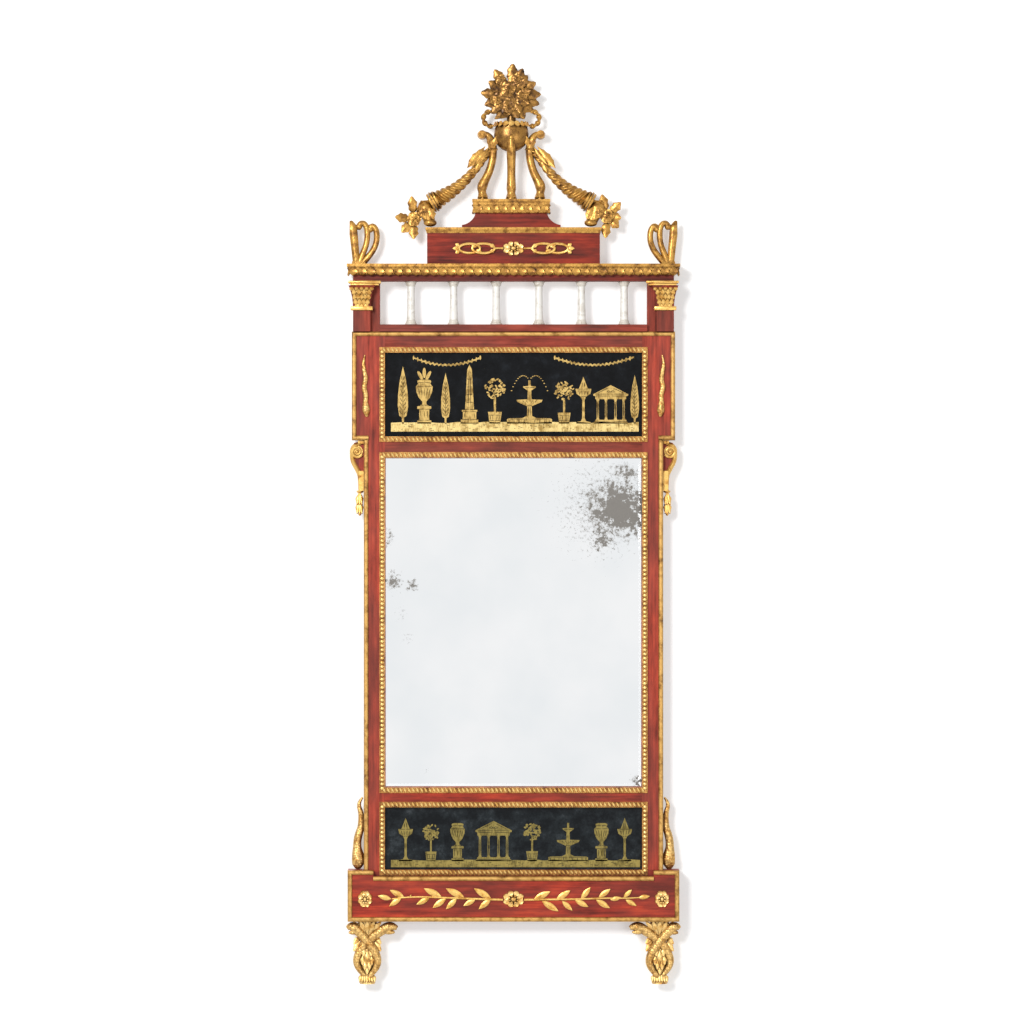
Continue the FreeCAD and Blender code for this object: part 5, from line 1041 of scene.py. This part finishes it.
bm = bmesh.new()
ROPE = (
    (-27.5, 110.0), (-32.5, 110.6), (-38.0, 113.2), (-41.4, 118.0), (-42.0, 123.6), (-39.6, 129.0),
    (-34.6, 132.6), (-29.0, 132.4),
)
ROPE_RADIUS = 3.2
rod(bm, crest, [(*spot, ROPE_RADIUS) for spot in ROPE], sides=18, flutes=2, twist=1.9, depth=0.34)
mirrored_copy(bm, crest_x)
finish(bm, "rope_loops", toned_gilding, "rope_rings")

# Bouquet: roses and leaves carved from one block of limewood, pierced between the leaves, on a short stem.
# It stands in the bowl on a tenon; its gilding is rubbed down to the clay and is the darkest of the crest, a
# darker copy as painted shade, with the shade of its hollows reaching furthest in.


def rose(bm, centre, radius, seed):
    """An open rose that faces the front: three rings of cupped petals round a bud."""
    chance = random.Random(seed)
    side = Vector((1, 0, 0))
    up = Vector((0, 0, 1))
    for count, reach, ahead, width in ((6, 1.0, 0.16, 0.46), (5, 0.72, 0.46, 0.42), (3, 0.42, 0.74, 0.32)):
        turn = chance.uniform(0, math.pi)
        for k in range(count):
            angle = turn + 2 * math.pi * k / count
            out = side * math.cos(angle) + up * math.sin(angle)
            root = centre + out * (radius * 0.1) + FORWARD * (radius * ahead)
            tip = centre + out * (radius * reach) + FORWARD * (radius * (ahead - 0.22))
            leaf(
                bm, root, tip, radius * width, radius * 0.16, radius * 0.24,
                swell=0.62, thick=1.1, point=0.55,
            )
    boss(bm, centre + FORWARD * (radius * 0.62), (radius * 0.46, radius * 0.5, radius * 0.46))


BOUQUET_DEPTH = (-43.0, -5.7)
low, high = box_mm("bouquet")
core = Vector((crest_x - 1.5, crest_y, bowl_high.z + 39))
stem = [Vector((crest_x, crest_y, bowl_high.z - 6 + 7 * k)) for k in range(6)]
bm = bmesh.new()
swept(bm, stem, [8, 7, 6.6, 7, 9, 12], flat=0.8)
boss(bm, core, (44, 20, 46), sides=16, rings=10)
OUTER_LEAVES = (
    (-0.8, 840.0), (-28.7, 830.3), (-37.4, 812.7), (-49.5, 795.3), (-43.5, 776.7), (-33.0, 764.0),
    (14.3, 831.8), (21.2, 821.3), (33.8, 810.8), (41.3, 792.8), (39.0, 778.0), (29.9, 766.7), (-24.0, 757.0),
    (17.0, 757.0),
)
for k, (x, z) in enumerate(OUTER_LEAVES):
    tip = Vector((x, crest_y, z))
    ahead = Vector((0, -2.0 if k % 2 else 2.0, 0))
    root = core + (tip - core) * 0.36 + ahead
    leaf(bm, root, tip + ahead * 0.4, 7.8, 3.4, 1.0, lobes=3, swell=0.5, thick=2.2, point=0.62)
for x, ahead in ((-25, -6), (-15, -12), (11, -12), (20, -6)):
    root = Vector((crest_x, crest_y - 6, bowl_high.z + 20))
    tip = Vector((crest_x + x, crest_y + ahead, bowl_high.z + 3))
    leaf(bm, root, tip, 5.6, 2.4, 2.0, lobes=3, thick=1.8, point=0.7)
ahead = Vector((0, -7, 0))
for k in range(10):
    angle = 2 * math.pi * (k + 0.3) / 10
    way = Vector((math.cos(angle), 0, math.sin(angle))) * 31
    root = core + way * 0.45 + ahead
    leaf(bm, root, core + way + ahead, 7.0, 2.6, 2.5, lobes=3, thick=1.6, point=0.62)
ROSES = (
    (-4, -9, 6, 14), (15, -8, -4, 10.5), (-20, -7, -7, 10), (-4, -9, -19, 11), (9, -7, 23, 9.5),
    (-15, -6, 24, 8.5),
)
for k, (x, ahead, up, size) in enumerate(ROSES):
    rose(bm, core + Vector((x, ahead, up)), size, 10 + k)
trim(bm, x=(low.x, high.x), y=BOUQUET_DEPTH, z=(-math.inf, high.z - SPARE))
finish(bm, "crest_bouquet", deep_shade_gilding, "bouquet")

# Cornucopias: spiral-fluted horns that leave the legs under an acanthus leaf and end in a ringed collar,
# with a flower, a fruit and a bud spilling over the attic's end.

horn_low, horn_high = box_mm("left_cornucopia")
half_pair = bmesh.new()
tip = crest + Vector((-30, 0, 78))
mouth = crest + Vector((-119, 0, -3.5))
HORN = (
    (0.0, 0.0, 4.6), (0.08, 0.12, 5.0), (0.2, 0.3, 5.6), (0.32, 0.46, 6.3), (0.46, 0.62, 7.4),
    (0.6, 0.75, 8.6), (0.74, 0.85, 10.2), (0.87, 0.93, 11.8), (0.96, 0.985, 13.2),
)
COLLAR_RINGS = ((-2.6, 15.4, 3.6), (1.4, 16.6, 3.0), (5.2, 15.6, 3.4))
HORN_LEAVES = ((-9, 2, -36, -31, 6.6), (-4, 0, -24, -26, 5.0), (-12, -10, -24, -38, 4.6))
horn = [tip + Vector((u * (mouth.x - tip.x), 0, v * (mouth.z - tip.z))) for u, v, _ in HORN]
swept(half_pair, horn, [radius for _, _, radius in HORN], sides=40, flutes=4, twist=2.5, depth=0.13)
heading = (horn[-1] - horn[-2]).normalized()
turn = Vector((0, 0, 1)).rotation_difference(heading).to_matrix()
for ahead, radius, thick in COLLAR_RINGS:
    before = set(half_pair.verts)
    ring = bmesh.ops.create_cone(
        half_pair, cap_ends=True, segments=28, radius1=radius, radius2=radius * 0.95, depth=thick,
    )
    bmesh.ops.bevel(
        half_pair, geom=list({e for v in ring["verts"] for e in v.link_edges}), offset=0.9, segments=2,
        profile=0.5, affect="EDGES", material=-1,
    )
    fresh = [v for v in half_pair.verts if v not in before]
    bmesh.ops.rotate(half_pair, cent=(0, 0, 0), matrix=turn, verts=fresh)
    bmesh.ops.translate(half_pair, vec=horn[-1] + heading * ahead, verts=fresh)
for x0, z0, x1, z1, width in HORN_LEAVES:
    root = tip + Vector((x0, -5.5, z0))
    leaf(half_pair, root, tip + Vector((x1, -7.5, z1)), width, 2.4, 3.0, lobes=4, swell=0.55, thick=1.8)
for side in ("left", "right"):
    bm = half_pair.copy()
    if side == "right":
        bmesh.ops.scale(bm, vec=(-1, 1, 1), verts=bm.verts)
        bmesh.ops.translate(bm, vec=(2 * crest_x, 0, 0), verts=bm.verts)
    trim(bm, y=(horn_low.y, horn_high.y))
    finish(bm, side + "_spiral_horn", toned_gilding, side + "_cornucopia")
half_pair.free()

attic_end = box_mm("attic_block")[1]


def spill(name, solid, fruit, flower, tips, bud):
    """What the horn spills: a round fruit in leaves, an open flower of pointed leaves, and a bud."""
    low, high = box_mm(solid)
    fruit, flower, bud = (Vector((x, crest_y, z)) for x, z in (fruit, flower, bud))
    bm = bmesh.new()
    boss(bm, fruit, (25, 22, 25), sides=18, rings=12)
    outward = 1 if flower.x > fruit.x else -1
    for degrees in (60, 110, 160, 235, 270, 300, 340):
        angle = math.radians(degrees)
        out = Vector((outward * math.cos(angle), -0.5, math.sin(angle)))
        leaf(bm, fruit + out * 5, fruit + out * 14, 5.5, 1.6, 2.0, lobes=3, thick=1.4)
    boss(bm, bud + Vector((0, -6, 0)), (20, 14, 12), sides=16, rings=10)
    swept(bm, [fruit, (fruit + bud) / 2, bud + Vector((0, -3, 0))], [11.5, 10.5, 8.0])
    for x in (-6, 5):
        root = fruit + Vector((x, -9, 2))
        leaf(bm, root, bud + Vector((x, -10, 5)), 6.4, 2.4, 1.0, lobes=3, thick=1.8, point=0.7)
    swept(bm, [fruit, (fruit + flower) / 2, flower], [6.0, 5.0, 6.0])
    for x, z in tips:
        tip = Vector((x, crest_y - 3, z))
        root = flower + (tip - flower) * 0.16
        leaf(bm, root, tip, 7.0, 3.2, 1.5, lobes=3, swell=0.54, thick=2.2, point=0.72)
    rose(bm, flower + Vector((0, -5, 0)), 11.0, 31)
    rose(bm, fruit + Vector((outward * 4, -9, -6)), 7.0, 32)
    trim(bm, x=(low.x, high.x), y=(-math.inf, BACK), z=(low.z, math.inf))
    for vert in bm.verts:
        if abs(vert.co.x) < attic_end.x + 2.5:
            vert.co.z = max(vert.co.z, attic_end.z)
    finish(bm, name, toned_gilding, solid)


spill(
    "left_flower_bunch", "left_horn_flowers", (-132.0, 621.0), (-149.3, 605.3),
    ((-153, 640), (-178, 608.7), (-168, 585), (-150, 575), (-130, 626)), (-125, 599.6),
)
spill(
    "right_flower_bunch", "right_horn_flowers", (125.5, 621.0), (140.2, 609.7),
    ((132.7, 642.7), (161.2, 630.7), (162, 607), (158, 592), (138, 576.7), (120, 618)), (116, 599.6),
)

# Lyre finials: a straight blade and two bars that curl over into balls, cut with slanting beads along them.
# Carved in limewood on a small foot, doweled to the ends of the entablature.

low, high = box_mm("lyre_finials")
root = Vector((-232.5, -16, low.z))
bm = bmesh.new()
BLADE = ((-3.4, 0, 5.4), (-4.6, 14, 5.8), (-6.2, 32, 6.2), (-8.2, 50, 6.6), (-9.0, 58, 6.6), (-12.0, 66, 2.0))
BARS = (
    (
        (0.5, 0, 4.6), (5, 14, 4.2), (11, 28, 4.0), (13.2, 42, 4.0), (12.4, 56, 4.0), (7, 63, 3.8),
        (1.5, 61, 3.8), (0.4, 57, 4.0),
    ),
    (
        (4, 0, 4.6), (14, 11, 4.2), (23, 23, 4.0), (27.4, 36, 4.0), (27.0, 50, 4.0), (22.6, 58, 3.8),
        (17.6, 57, 3.8), (17.2, 53, 4.0),
    ),
)
rod(bm, root, BLADE, flat=0.75)
for table in BARS:
    line = [root + Vector((x, 0, z)) for x, z, _ in table]
    swept(bm, line, [radius + 0.7 for _, _, radius in table])
    boss(bm, line[-1], (10.4, 10.4, 10.4), sides=12, rings=8)
    for start, end in zip(line[:-2], line[1:-1]):
        for share in (0.25, 0.75):
            spot = start + (end - start) * share
            angle = math.atan2(end.z - start.z, end.x - start.x)
            boss(bm, spot + Vector((0, -2.2, 0)), (4.6, 4.4, 7.6), Matrix.Rotation(-angle - 0.4, 3, "Y"))
slab(bm, root + Vector((-10, -5, 0)), root + Vector((10, 5, 4.6)))
trim(bm, x=(low.x, math.inf), z=(low.z, high.z))
mirrored_copy(bm)
finish(bm, "lyres", toned_gilding, "lyre_finials")

# Rosettes: eight-petalled flowers round a ringed boss, one on the attic and three on the base.
# Carved in limewood, glued to the painted face and water gilt.


def rosette(bm, low, high):
    """An oval flower that fills a box: petals round a ringed boss, lying on the face behind it."""
    centre = (low + high) / 2
    wide = (high.x - low.x) / 2
    tall = (high.z - low.z) / 2
    seat = high.y
    for k in range(8):
        angle = 2 * math.pi * (k + 0.5) / 8
        out = Vector((wide * math.cos(angle), 0, tall * math.sin(angle)))
        base = Vector((centre.x, seat - 3.6, centre.z))
        leaf(
            bm, base + out * 0.2, base + out * 0.97 + Vector((0, 1.6, 0)), min(wide, tall) * 0.38, -1.2, 0.8,
            swell=0.68, thick=2.0,
        )
        boss(bm, base + out * 0.42 + Vector((0, -1.0, 0)), (3.4, 3.0, 3.4))
    boss(bm, (centre.x, seat - 4.2, centre.z), (wide * 0.5, 5.4, tall * 0.55), sides=12, rings=8)


END_ROSETTE_WIDTH = 21
for name in ("attic_rosette", "base_rosette"):
    bm = bmesh.new()
    rosette(bm, *box_mm(name))
    finish(bm, name.replace("rosette", "flower"), pale_gilding, name)
bm = bmesh.new()
low, high = box_mm("base_end_rosettes")
rosette(bm, low, Vector((low.x + END_ROSETTE_WIDTH, high.y, high.z)))
mirrored_copy(bm)
finish(bm, "base_end_flowers", pale_gilding, "base_end_rosettes")

# Scroll links of the attic: two interlaced ribbon loops with a bud on each side of the rosette.
# Carved and pierced in limewood, glued to the attic's face.

low, high = box_mm("attic_scroll_links")
bm = bmesh.new()
level = (low.z + high.z) / 2
face = high.y - 2.4
LOOP_STEPS = 16
LOOP_RADIUS = 2.1


def loop(bm, centre, wide, tall, lean):
    """A ribbon bent to a closed oval, leaning so that it passes over its neighbour on one side."""
    line = []
    for k in range(LOOP_STEPS + 1):
        angle = 2 * math.pi * k / LOOP_STEPS
        across = centre + wide * math.cos(angle)
        line.append(Vector((across, face + lean * math.sin(angle), level + tall * math.sin(angle))))
    swept(bm, line, [LOOP_RADIUS] * len(line), sides=8)


LINK_LEAVES = (
    (-81, 0, -10.5), (-55, 2, -8), (-56, -2, 8), (-28, 2.4, -8), (-28, -2.4, -8), (-81, 3, -6), (-81, -3, -6),
)
loop(bm, -45, 17, 7.4, 0.6)
loop(bm, -66, 16, 7.0, -0.6)
rod(bm, Vector((0, face, level)), ((-15, 0, 1.7), (-22, 0.6, 1.4), (-29, 0, 1.7)), sides=8)
for x, z, reach in LINK_LEAVES:
    root = Vector((x, face - 0.6, level + z))
    leaf(bm, root, Vector((x + reach, face - 0.6, level + z * 2.4)), 3.0, 1.4, 0.5, thick=1.8)
mirrored_copy(bm)
finish(bm, "attic_loops", bright_gilding, "attic_scroll_links")

# Laurel sprays of the base: a thin stem on each side with leaves set by turns above and below it.
# Carved in limewood, each spray in its own way, glued to the base and water gilt.

low, high = box_mm("laurel_sprays")
level = (low.z + high.z) / 2
face = high.y - 1.2
bm = bmesh.new()
STEM_RADII = (1.9, 1.7, 1.6, 1.4, 1.2, 1.0)
LEFT_STEM = ((-16, -1), (-60, 0.4), (-100, 2.0), (-140, 3.6), (-172, 2.0), (-182, 0.2))
LEFT_LEAVES = (
    (-34, 1, -59, 16), (-34, 0, -52, -15), (-57, 0, -75, -10), (-74, 2.4, -101, 16), (-85, 1, -101, -15),
    (-101, 1, -121, -13), (-108, 3.4, -134, 16), (-126, 2, -145, -8), (-153, 4.8, -155, 5.6),
    (-164, 3, -185, 13.6), (-168, 2.4, -186, -10.6), (-183, 0, -203, 5),
)
RIGHT_STEM = ((16, -1), (60, -0.6), (100, 0), (140, 1.6), (170, 1.0), (190, 2.4))
RIGHT_LEAVES = (
    (30, -1, 55, 11.4), (43, -3, 67, -18), (64, -1, 85, 13), (73, -3, 88, -17), (92, -1, 112, -11.6),
    (101, 0, 115, 17.6), (124, -1, 144, -13.4), (127.6, 2.4, 145, 15), (145, -1, 161, 2.4),
    (165, 2.4, 177, 14), (168, -1, 184, -10), (187, 2, 204, 4.4),
)
for stem, leaves in ((LEFT_STEM, LEFT_LEAVES), (RIGHT_STEM, RIGHT_LEAVES)):
    swept(bm, [Vector((x, face, level + z)) for x, z in stem], STEM_RADII, sides=8)
    for x0, z0, x1, z1 in leaves:
        root = Vector((x0, face - 0.3, level + z0))
        goal = Vector((x1, face - 0.3, level + z1))
        width = 1.4 + 0.12 * (goal - root).length
        leaf(bm, root, goal, width, 2.2, 0.8, swell=0.48, thick=1.8, point=0.8)
finish(bm, "laurel", bright_gilding, "laurel_sprays")

# Serpents: small ones laid on the shoulders, larger ones standing on the base beside the stiles.
# Each is one carving in limewood with a flat broad head; scales are pricked into the gesso.

scaled_gilding = gilding(
    "water_gilding_scaled", "#dbb26b", "#bd8a42", "#603812", 0.34, wear=0.44, scales=0.0038,
)
STILE_SIDE = -224.5
SERPENT_DEPTH = -16.0
SERPENT_FLATNESS = 0.8


def serpent(bm, line, radii, head):
    """A serpent's body, with the eyes and the brow of its head near the nose."""
    swept(bm, line, radii, sides=12, flat=SERPENT_FLATNESS)
    nose = line[-1]
    neck = line[-3]
    way = (nose - neck).normalized()
    across = way.cross(Vector((0, 1, 0))).normalized()
    middle = neck + (nose - neck) * 0.45
    for side in (-1, 1):
        eye = middle + across * (side * head * 0.45) + Vector((0, -head * 0.55, 0))
        boss(bm, eye, (head * 0.4,) * 3)
    boss(bm, middle + Vector((0, -head * 0.3, 0)), (head * 1.1, head * 0.9, head * 1.3))


low, high = box_mm("shoulder_serpents")
bm = bmesh.new()
SHOULDER = (
    (1.6, 0, 0.9), (-1.2, 11, 2.4), (0.8, 24, 3.2), (3.4, 36, 3.6), (-0.4, 48, 3.8), (3.6, 60, 3.8),
    (2.4, 70, 3.8), (3.4, 79, 5.6), (3.8, 86, 5.6), (4.6, 92.3, 1.8),
)
line = [Vector((STILE_SIDE + x, high.y - 1.4, high.z - down)) for x, down, _ in SHOULDER]
serpent(bm, line, [radius for _, _, radius in SHOULDER], 5.0)
trim(bm, y=(-math.inf, high.y))
mirrored_copy(bm)
finish(bm, "shoulder_snakes", scaled_gilding, "shoulder_serpents")

low, high = box_mm("side_serpents")
bm = bmesh.new()
SIDE = (
    (2.0, 108, 1.4), (6.4, 103, 2.4), (8.0, 95, 3.2), (4.8, 86, 4.0), (3.8, 74, 4.8), (4.6, 62, 5.4),
    (8.2, 52, 6.0), (10.2, 42, 6.0), (10.4, 32, 6.4), (9.4, 23, 9.0), (9.0, 14, 11.0), (9.2, 5, 8.0),
    (9.2, 0.5, 3.2),
)
line = [Vector((STILE_SIDE - x, SERPENT_DEPTH, low.z + up)) for x, up, _ in SIDE]
serpent(bm, line, [radius for _, _, radius in SIDE], 9.0)
trim(bm, x=(low.x, STILE_SIDE), z=(low.z, math.inf))
mirrored_copy(bm)
finish(bm, "side_snakes", scaled_gilding, "side_serpents")

# Scroll brackets: a volute on a red ground under each shoulder, ending in a bellflower drop.
# Carved in limewood, glued to the stile's side and water gilt; the ground is painted with the stile.

low, high = box_mm("scroll_brackets")
top = high.z
bm = bmesh.new()
GROUND = ((0, 0), (-15, -4), (-18, -16), (-16, -34), (-6, -52), (0, -60))
GROUND_BACK = -11
GROUND_THICKNESS = 7
rim = [bm.verts.new((STILE_SIDE + x, GROUND_BACK, top + z)) for x, z in GROUND]
grown = bmesh.ops.extrude_face_region(bm, geom=[bm.faces.new(rim)])["geom"]
fronts = [v for v in grown if isinstance(v, bmesh.types.BMVert)]
bmesh.ops.translate(bm, vec=(0, -GROUND_THICKNESS, 0), verts=fronts)
mirrored_copy(bm)
finish(bm, "bracket_grounds", red_upright, slot="red_paint", smooth=False)

bm = bmesh.new()
eye = Vector((STILE_SIDE - 10.6, -19.6, top - 17))
VOLUTE_STEPS = 21
volute = []
for k in range(VOLUTE_STEPS + 1):
    angle = math.radians(70 + 620 * (1 - k / VOLUTE_STEPS))
    reach = 1.6 + 7.4 * (1 - k / VOLUTE_STEPS)
    volute.append(eye + Vector((reach * math.cos(angle), 0, reach * math.sin(angle))))
swept(bm, volute, [2.5 - 1.1 * k / VOLUTE_STEPS for k in range(VOLUTE_STEPS + 1)], sides=8)
upright_disc(bm, eye + Vector((0, 3.4, 0)), 9.6, 9.0, 7.0, 28)
boss(bm, eye + Vector((0, -1.4, 0)), (5, 7, 5), sides=12, rings=8)
STRAP = (
    (-4.0, -5.0, 3.0), (-12.0, -6.4, 3.6), (-17.6, -12.0, 3.8), (-18.2, -22.0, 3.8), (-16.4, -33.0, 3.8),
    (-10.4, -43.0, 4.0), (-6.4, -51.0, 4.0), (-5.2, -60.0, 4.0), (-5.0, -75.0, 3.8),
)
rod(bm, Vector((STILE_SIDE, -16, top)), STRAP, sides=10, flat=1.5)
slab(bm, (STILE_SIDE - 9.0, -23, top - 5.0), (STILE_SIDE, -9, top - 0.4))
slab(bm, (STILE_SIDE - 7.4, -22, top - 76.0), (STILE_SIDE, -10, top - 46.0))
boss(bm, (STILE_SIDE - 6, -17, top - 77), (11, 11, 5), sides=12)
for level, size, spread in ((-78, 6.8, 3.2), (-91, 7.4, 3.0)):
    for lean in (-spread, 0, spread * 0.8):
        root = Vector((STILE_SIDE - 6.4 + lean * 0.3, -18, top + level))
        tip = root + Vector((lean, -1.5, -19))
        leaf(bm, root, tip, size * 0.48, 2.6, 2.0, lobes=2, swell=0.55, thick=2.6)
boss(bm, (STILE_SIDE - 6.4, -18, top - 110), (5, 5, 7))
trim(bm, x=(low.x, STILE_SIDE), z=(low.z, math.inf))
mirrored_copy(bm)
finish(bm, "bracket_scrolls", bright_gilding, "scroll_brackets")

# Feet: two crossing serpents with open jaws under the base, round an acanthus bulb that ends in a leafy cup.
# Carved from one block each and doweled into the base.

low, high = box_mm("left_foot")
cross = Vector((-219.5, -16.0, high.z))
# Bulb: distance down and radius. Tails: across, up and radius.
BULB = (
    (0, 15), (8, 14), (18, 11.5), (30, 8), (42, 9.5), (54, 12.5), (64, 12), (76, 8), (84, 8.4), (91, 11),
    (94.8, 11.6),
)
TAIL = (
    (0.0, -30, 7.2), (-9.0, -42, 6.6), (-15.5, -54, 6.0), (-16.0, -65, 5.4), (-10.0, -76, 4.4),
    (-3.0, -83, 3.4),
)
# Leaves: across and down at the root, the same at the tip, how far forward, and half the width.
FOOT_LEAVES = (
    (-4, 17, -21, 1, 8.0, 4.0), (-2, 19, -10.5, 0, 10.5, 4.0), (0, 20, 0, 0, 12.0, 4.2),
    (2, 19, 10.5, 0, 10.5, 4.0), (4, 17, 21, 1, 8.0, 4.0), (-9, 23, -21, 35, 4.0, 4.4),
    (-10, 30, -20.5, 46, 5.5, 4.4), (-8, 36, -17, 55, 7.0, 4.0), (9, 23, 21, 35, 4.0, 4.4),
    (10, 30, 20.5, 46, 5.5, 4.4), (8, 36, 17, 55, 7.0, 4.0), (-5, 38, -5.5, 53, 9.5, 3.4),
    (5, 38, 5.5, 53, 9.5, 3.4), (0, 44, 0, 60, 11.0, 3.6), (-6.5, 50, -7, 66, 9.5, 3.4),
    (6.5, 50, 7, 66, 9.5, 3.4), (-3, 58, -3.4, 73, 10.0, 3.2), (3, 58, 3.4, 73, 10.0, 3.2),
    (0, 66, 0, 80, 9.0, 3.2),
)
CUP_LEAVES = 7
CUP_HALF = 11

snakes = bmesh.new()
leafage = bmesh.new()
rod(leafage, cross, [(0, -down, radius) for down, radius in BULB], sides=14, flat=0.72)
for sign, nose, ahead in ((1, 45.0, -4.5), (-1, 30.0, -7.5)):
    neck = (
        (nose, -11, 3.2), (nose * 0.88, -8.5, 6.2), (nose * 0.7, -9, 8.2), (nose * 0.5, -14, 7.4),
        (nose * 0.28, -21, 6.8),
    )
    body = [(sign * x, z, radius) for x, z, radius in neck + TAIL]
    rod(snakes, cross + Vector((0, ahead, 0)), body[::-1], sides=14, flat=0.9)
    brow = cross + Vector((sign * nose * 0.74, ahead - 5.4, -6.5))
    boss(snakes, brow, (4.6, 4.6, 4.2))
    boss(snakes, brow + Vector((sign * 6.0, 0.6, 0.6)), (3.0, 3.0, 2.6))
    jaw = cross + Vector((sign * nose * 0.66, ahead - 1, -16))
    chin = jaw + Vector((sign * nose * 0.14, -1, -1.6))
    swept(snakes, [jaw, chin, jaw + Vector((sign * nose * 0.26, -1, -0.6))], [4.4, 3.6, 1.6])
for x0, down, x1, end, ahead, wide in FOOT_LEAVES:
    root = cross + Vector((x0, 2.4 - ahead, -down))
    tip = cross + Vector((x1, -ahead, -end))
    leaf(leafage, root, tip, wide, 2.4, 1.4, lobes=2, swell=0.58, thick=2.2, point=0.75)
for k in range(CUP_LEAVES):
    x = CUP_HALF * (2 * k / (CUP_LEAVES - 1) - 1)
    root = cross + Vector((x * 0.75, -6.0 * math.cos(x / CUP_HALF), -78))
    leaf(leafage, root, root + Vector((x * 0.3, -2.6, -14)), 3.0, 2.4, 3.0, lobes=2, swell=0.6, thick=1.8)
for side in ("left", "right"):
    for part, name, material in (
        (snakes, "foot_serpents", scaled_gilding), (leafage, "foot_leaves", pale_gilding),
    ):
        bm = part.copy()
        trim(bm, x=(low.x, high.x), z=(low.z, high.z))
        if side == "right":
            bmesh.ops.scale(bm, vec=(-1, 1, 1), verts=bm.verts)
        finish(bm, side + "_" + name, material, side + "_foot")
snakes.free()
leafage.free()

# Studio: a white wall close behind the mirror and a pale floor, a large soft lamp at the upper left and a low
# fill. The wall is there for the eye and for the shadow on it; from behind it lets the view and the light of
# a back lamp through.

SHOWN = ("Is Camera Ray", "Is Glossy Ray", "Is Transmission Ray")
PLASTER = (0.80, 0.80, 0.80, 1)
PLASTER_LIFT = 0.34
SKY_ON_OBJECT = 0.44
SKY_SHOWN = 0.97
WALL_SIZE = 12.0


def seen_by_eye(tree):
    """1 for rays that show the background to the camera, directly or in metal and glass."""
    path = node(tree, "ShaderNodeLightPath")
    total = path.outputs[SHOWN[0]]
    for name in SHOWN[1:]:
        ray = path.outputs[name]
        total = node(tree, "ShaderNodeMath", {0: total, 1: ray}, operation="MAXIMUM").outputs["Value"]
    return total


plaster = bpy.data.materials.new("white_plaster")
plaster.use_nodes = True
tree = plaster.node_tree
tree.nodes.clear()
lit = node(tree, "ShaderNodeBsdfDiffuse", {"Color": PLASTER}).outputs["BSDF"]
lift = node(tree, "ShaderNodeEmission", {"Strength": PLASTER_LIFT}).outputs["Emission"]
front = node(tree, "ShaderNodeAddShader", {0: lit, 1: lift}).outputs["Shader"]
behind = node(tree, "ShaderNodeNewGeometry").outputs["Backfacing"]
shown = node(
    tree, "ShaderNodeMath", {0: seen_by_eye(tree), 1: behind}, operation="SUBTRACT", use_clamp=True,
).outputs["Value"]
through = node(tree, "ShaderNodeBsdfTransparent").outputs["BSDF"]
both = node(tree, "ShaderNodeMixShader", {0: shown, 1: through, 2: front}).outputs["Shader"]
node(tree, "ShaderNodeOutputMaterial", {"Surface": both})

for name, turn, place in (("wall", 90, (0, 0.005, 0.6)), ("floor", 0, (0, 4.0, -1.1))):
    bm = bmesh.new()
    bmesh.ops.create_grid(bm, x_segments=1, y_segments=1, size=WALL_SIZE)
    bmesh.ops.rotate(bm, cent=(0, 0, 0), matrix=Matrix.Rotation(math.radians(turn), 3, "X"), verts=bm.verts)
    bmesh.ops.translate(bm, vec=place, verts=bm.verts)
    mesh = bpy.data.meshes.new(name)
    bm.to_mesh(mesh)
    bm.free()
    mesh.materials.append(plaster)
    surface = bpy.data.objects.new(name, mesh)
    bpy.context.collection.objects.link(surface)

LAMP_AIM = Vector((0, 0, 0.1))
for name, place, size, power in (
    ("key", (-1.6, -3.8, 1.5), 1.0, 128.0),
    ("fill", (1.6, -3.6, -0.2), 1.6, 26.0),
    ("back", (-1.2, 3.8, 2.2), 2.0, 90.0),
):
    lamp = bpy.data.lights.new(name, "AREA")
    lamp.size = size
    lamp.energy = power
    light = bpy.data.objects.new(name, lamp)
    light.location = place
    light.rotation_euler = (LAMP_AIM - Vector(place)).to_track_quat("-Z", "Y").to_euler()
    bpy.context.collection.objects.link(light)

world = bpy.data.worlds.new("studio")
world.use_nodes = True
bpy.context.scene.world = world
tree = world.node_tree
tree.nodes.clear()
strength = node(
    tree, "ShaderNodeMapRange", {"Value": seen_by_eye(tree), "To Min": SKY_ON_OBJECT, "To Max": SKY_SHOWN},
).outputs["Result"]
sky = node(tree, "ShaderNodeBackground", {"Color": (1, 1, 1, 1), "Strength": strength}).outputs["Background"]
node(tree, "ShaderNodeOutputWorld", {"Surface": sky})

# Metres to a pixel of the photograph, its width in pixels, and the pixel that shows the origin.
PIXEL = 0.0015
PICTURE = 1024
ORIGIN = (513.5, 622.5)
VIEW_DISTANCE = 6.0
FACE_DEPTH = 0.026
camera_data = bpy.data.cameras.new("camera")
camera_data.angle = 2 * math.atan(PICTURE * PIXEL / 2 / VIEW_DISTANCE)
camera_data.clip_end = 50.0
camera = bpy.data.objects.new("camera", camera_data)
camera.location = (
    (PICTURE / 2 - ORIGIN[0]) * PIXEL, -VIEW_DISTANCE - FACE_DEPTH, (ORIGIN[1] - PICTURE / 2) * PIXEL,
)
camera.rotation_euler = (math.radians(90), 0, 0)
bpy.context.collection.objects.link(camera)
bpy.context.scene.camera = camera
bpy.context.scene.view_settings.view_transform = "Standard"
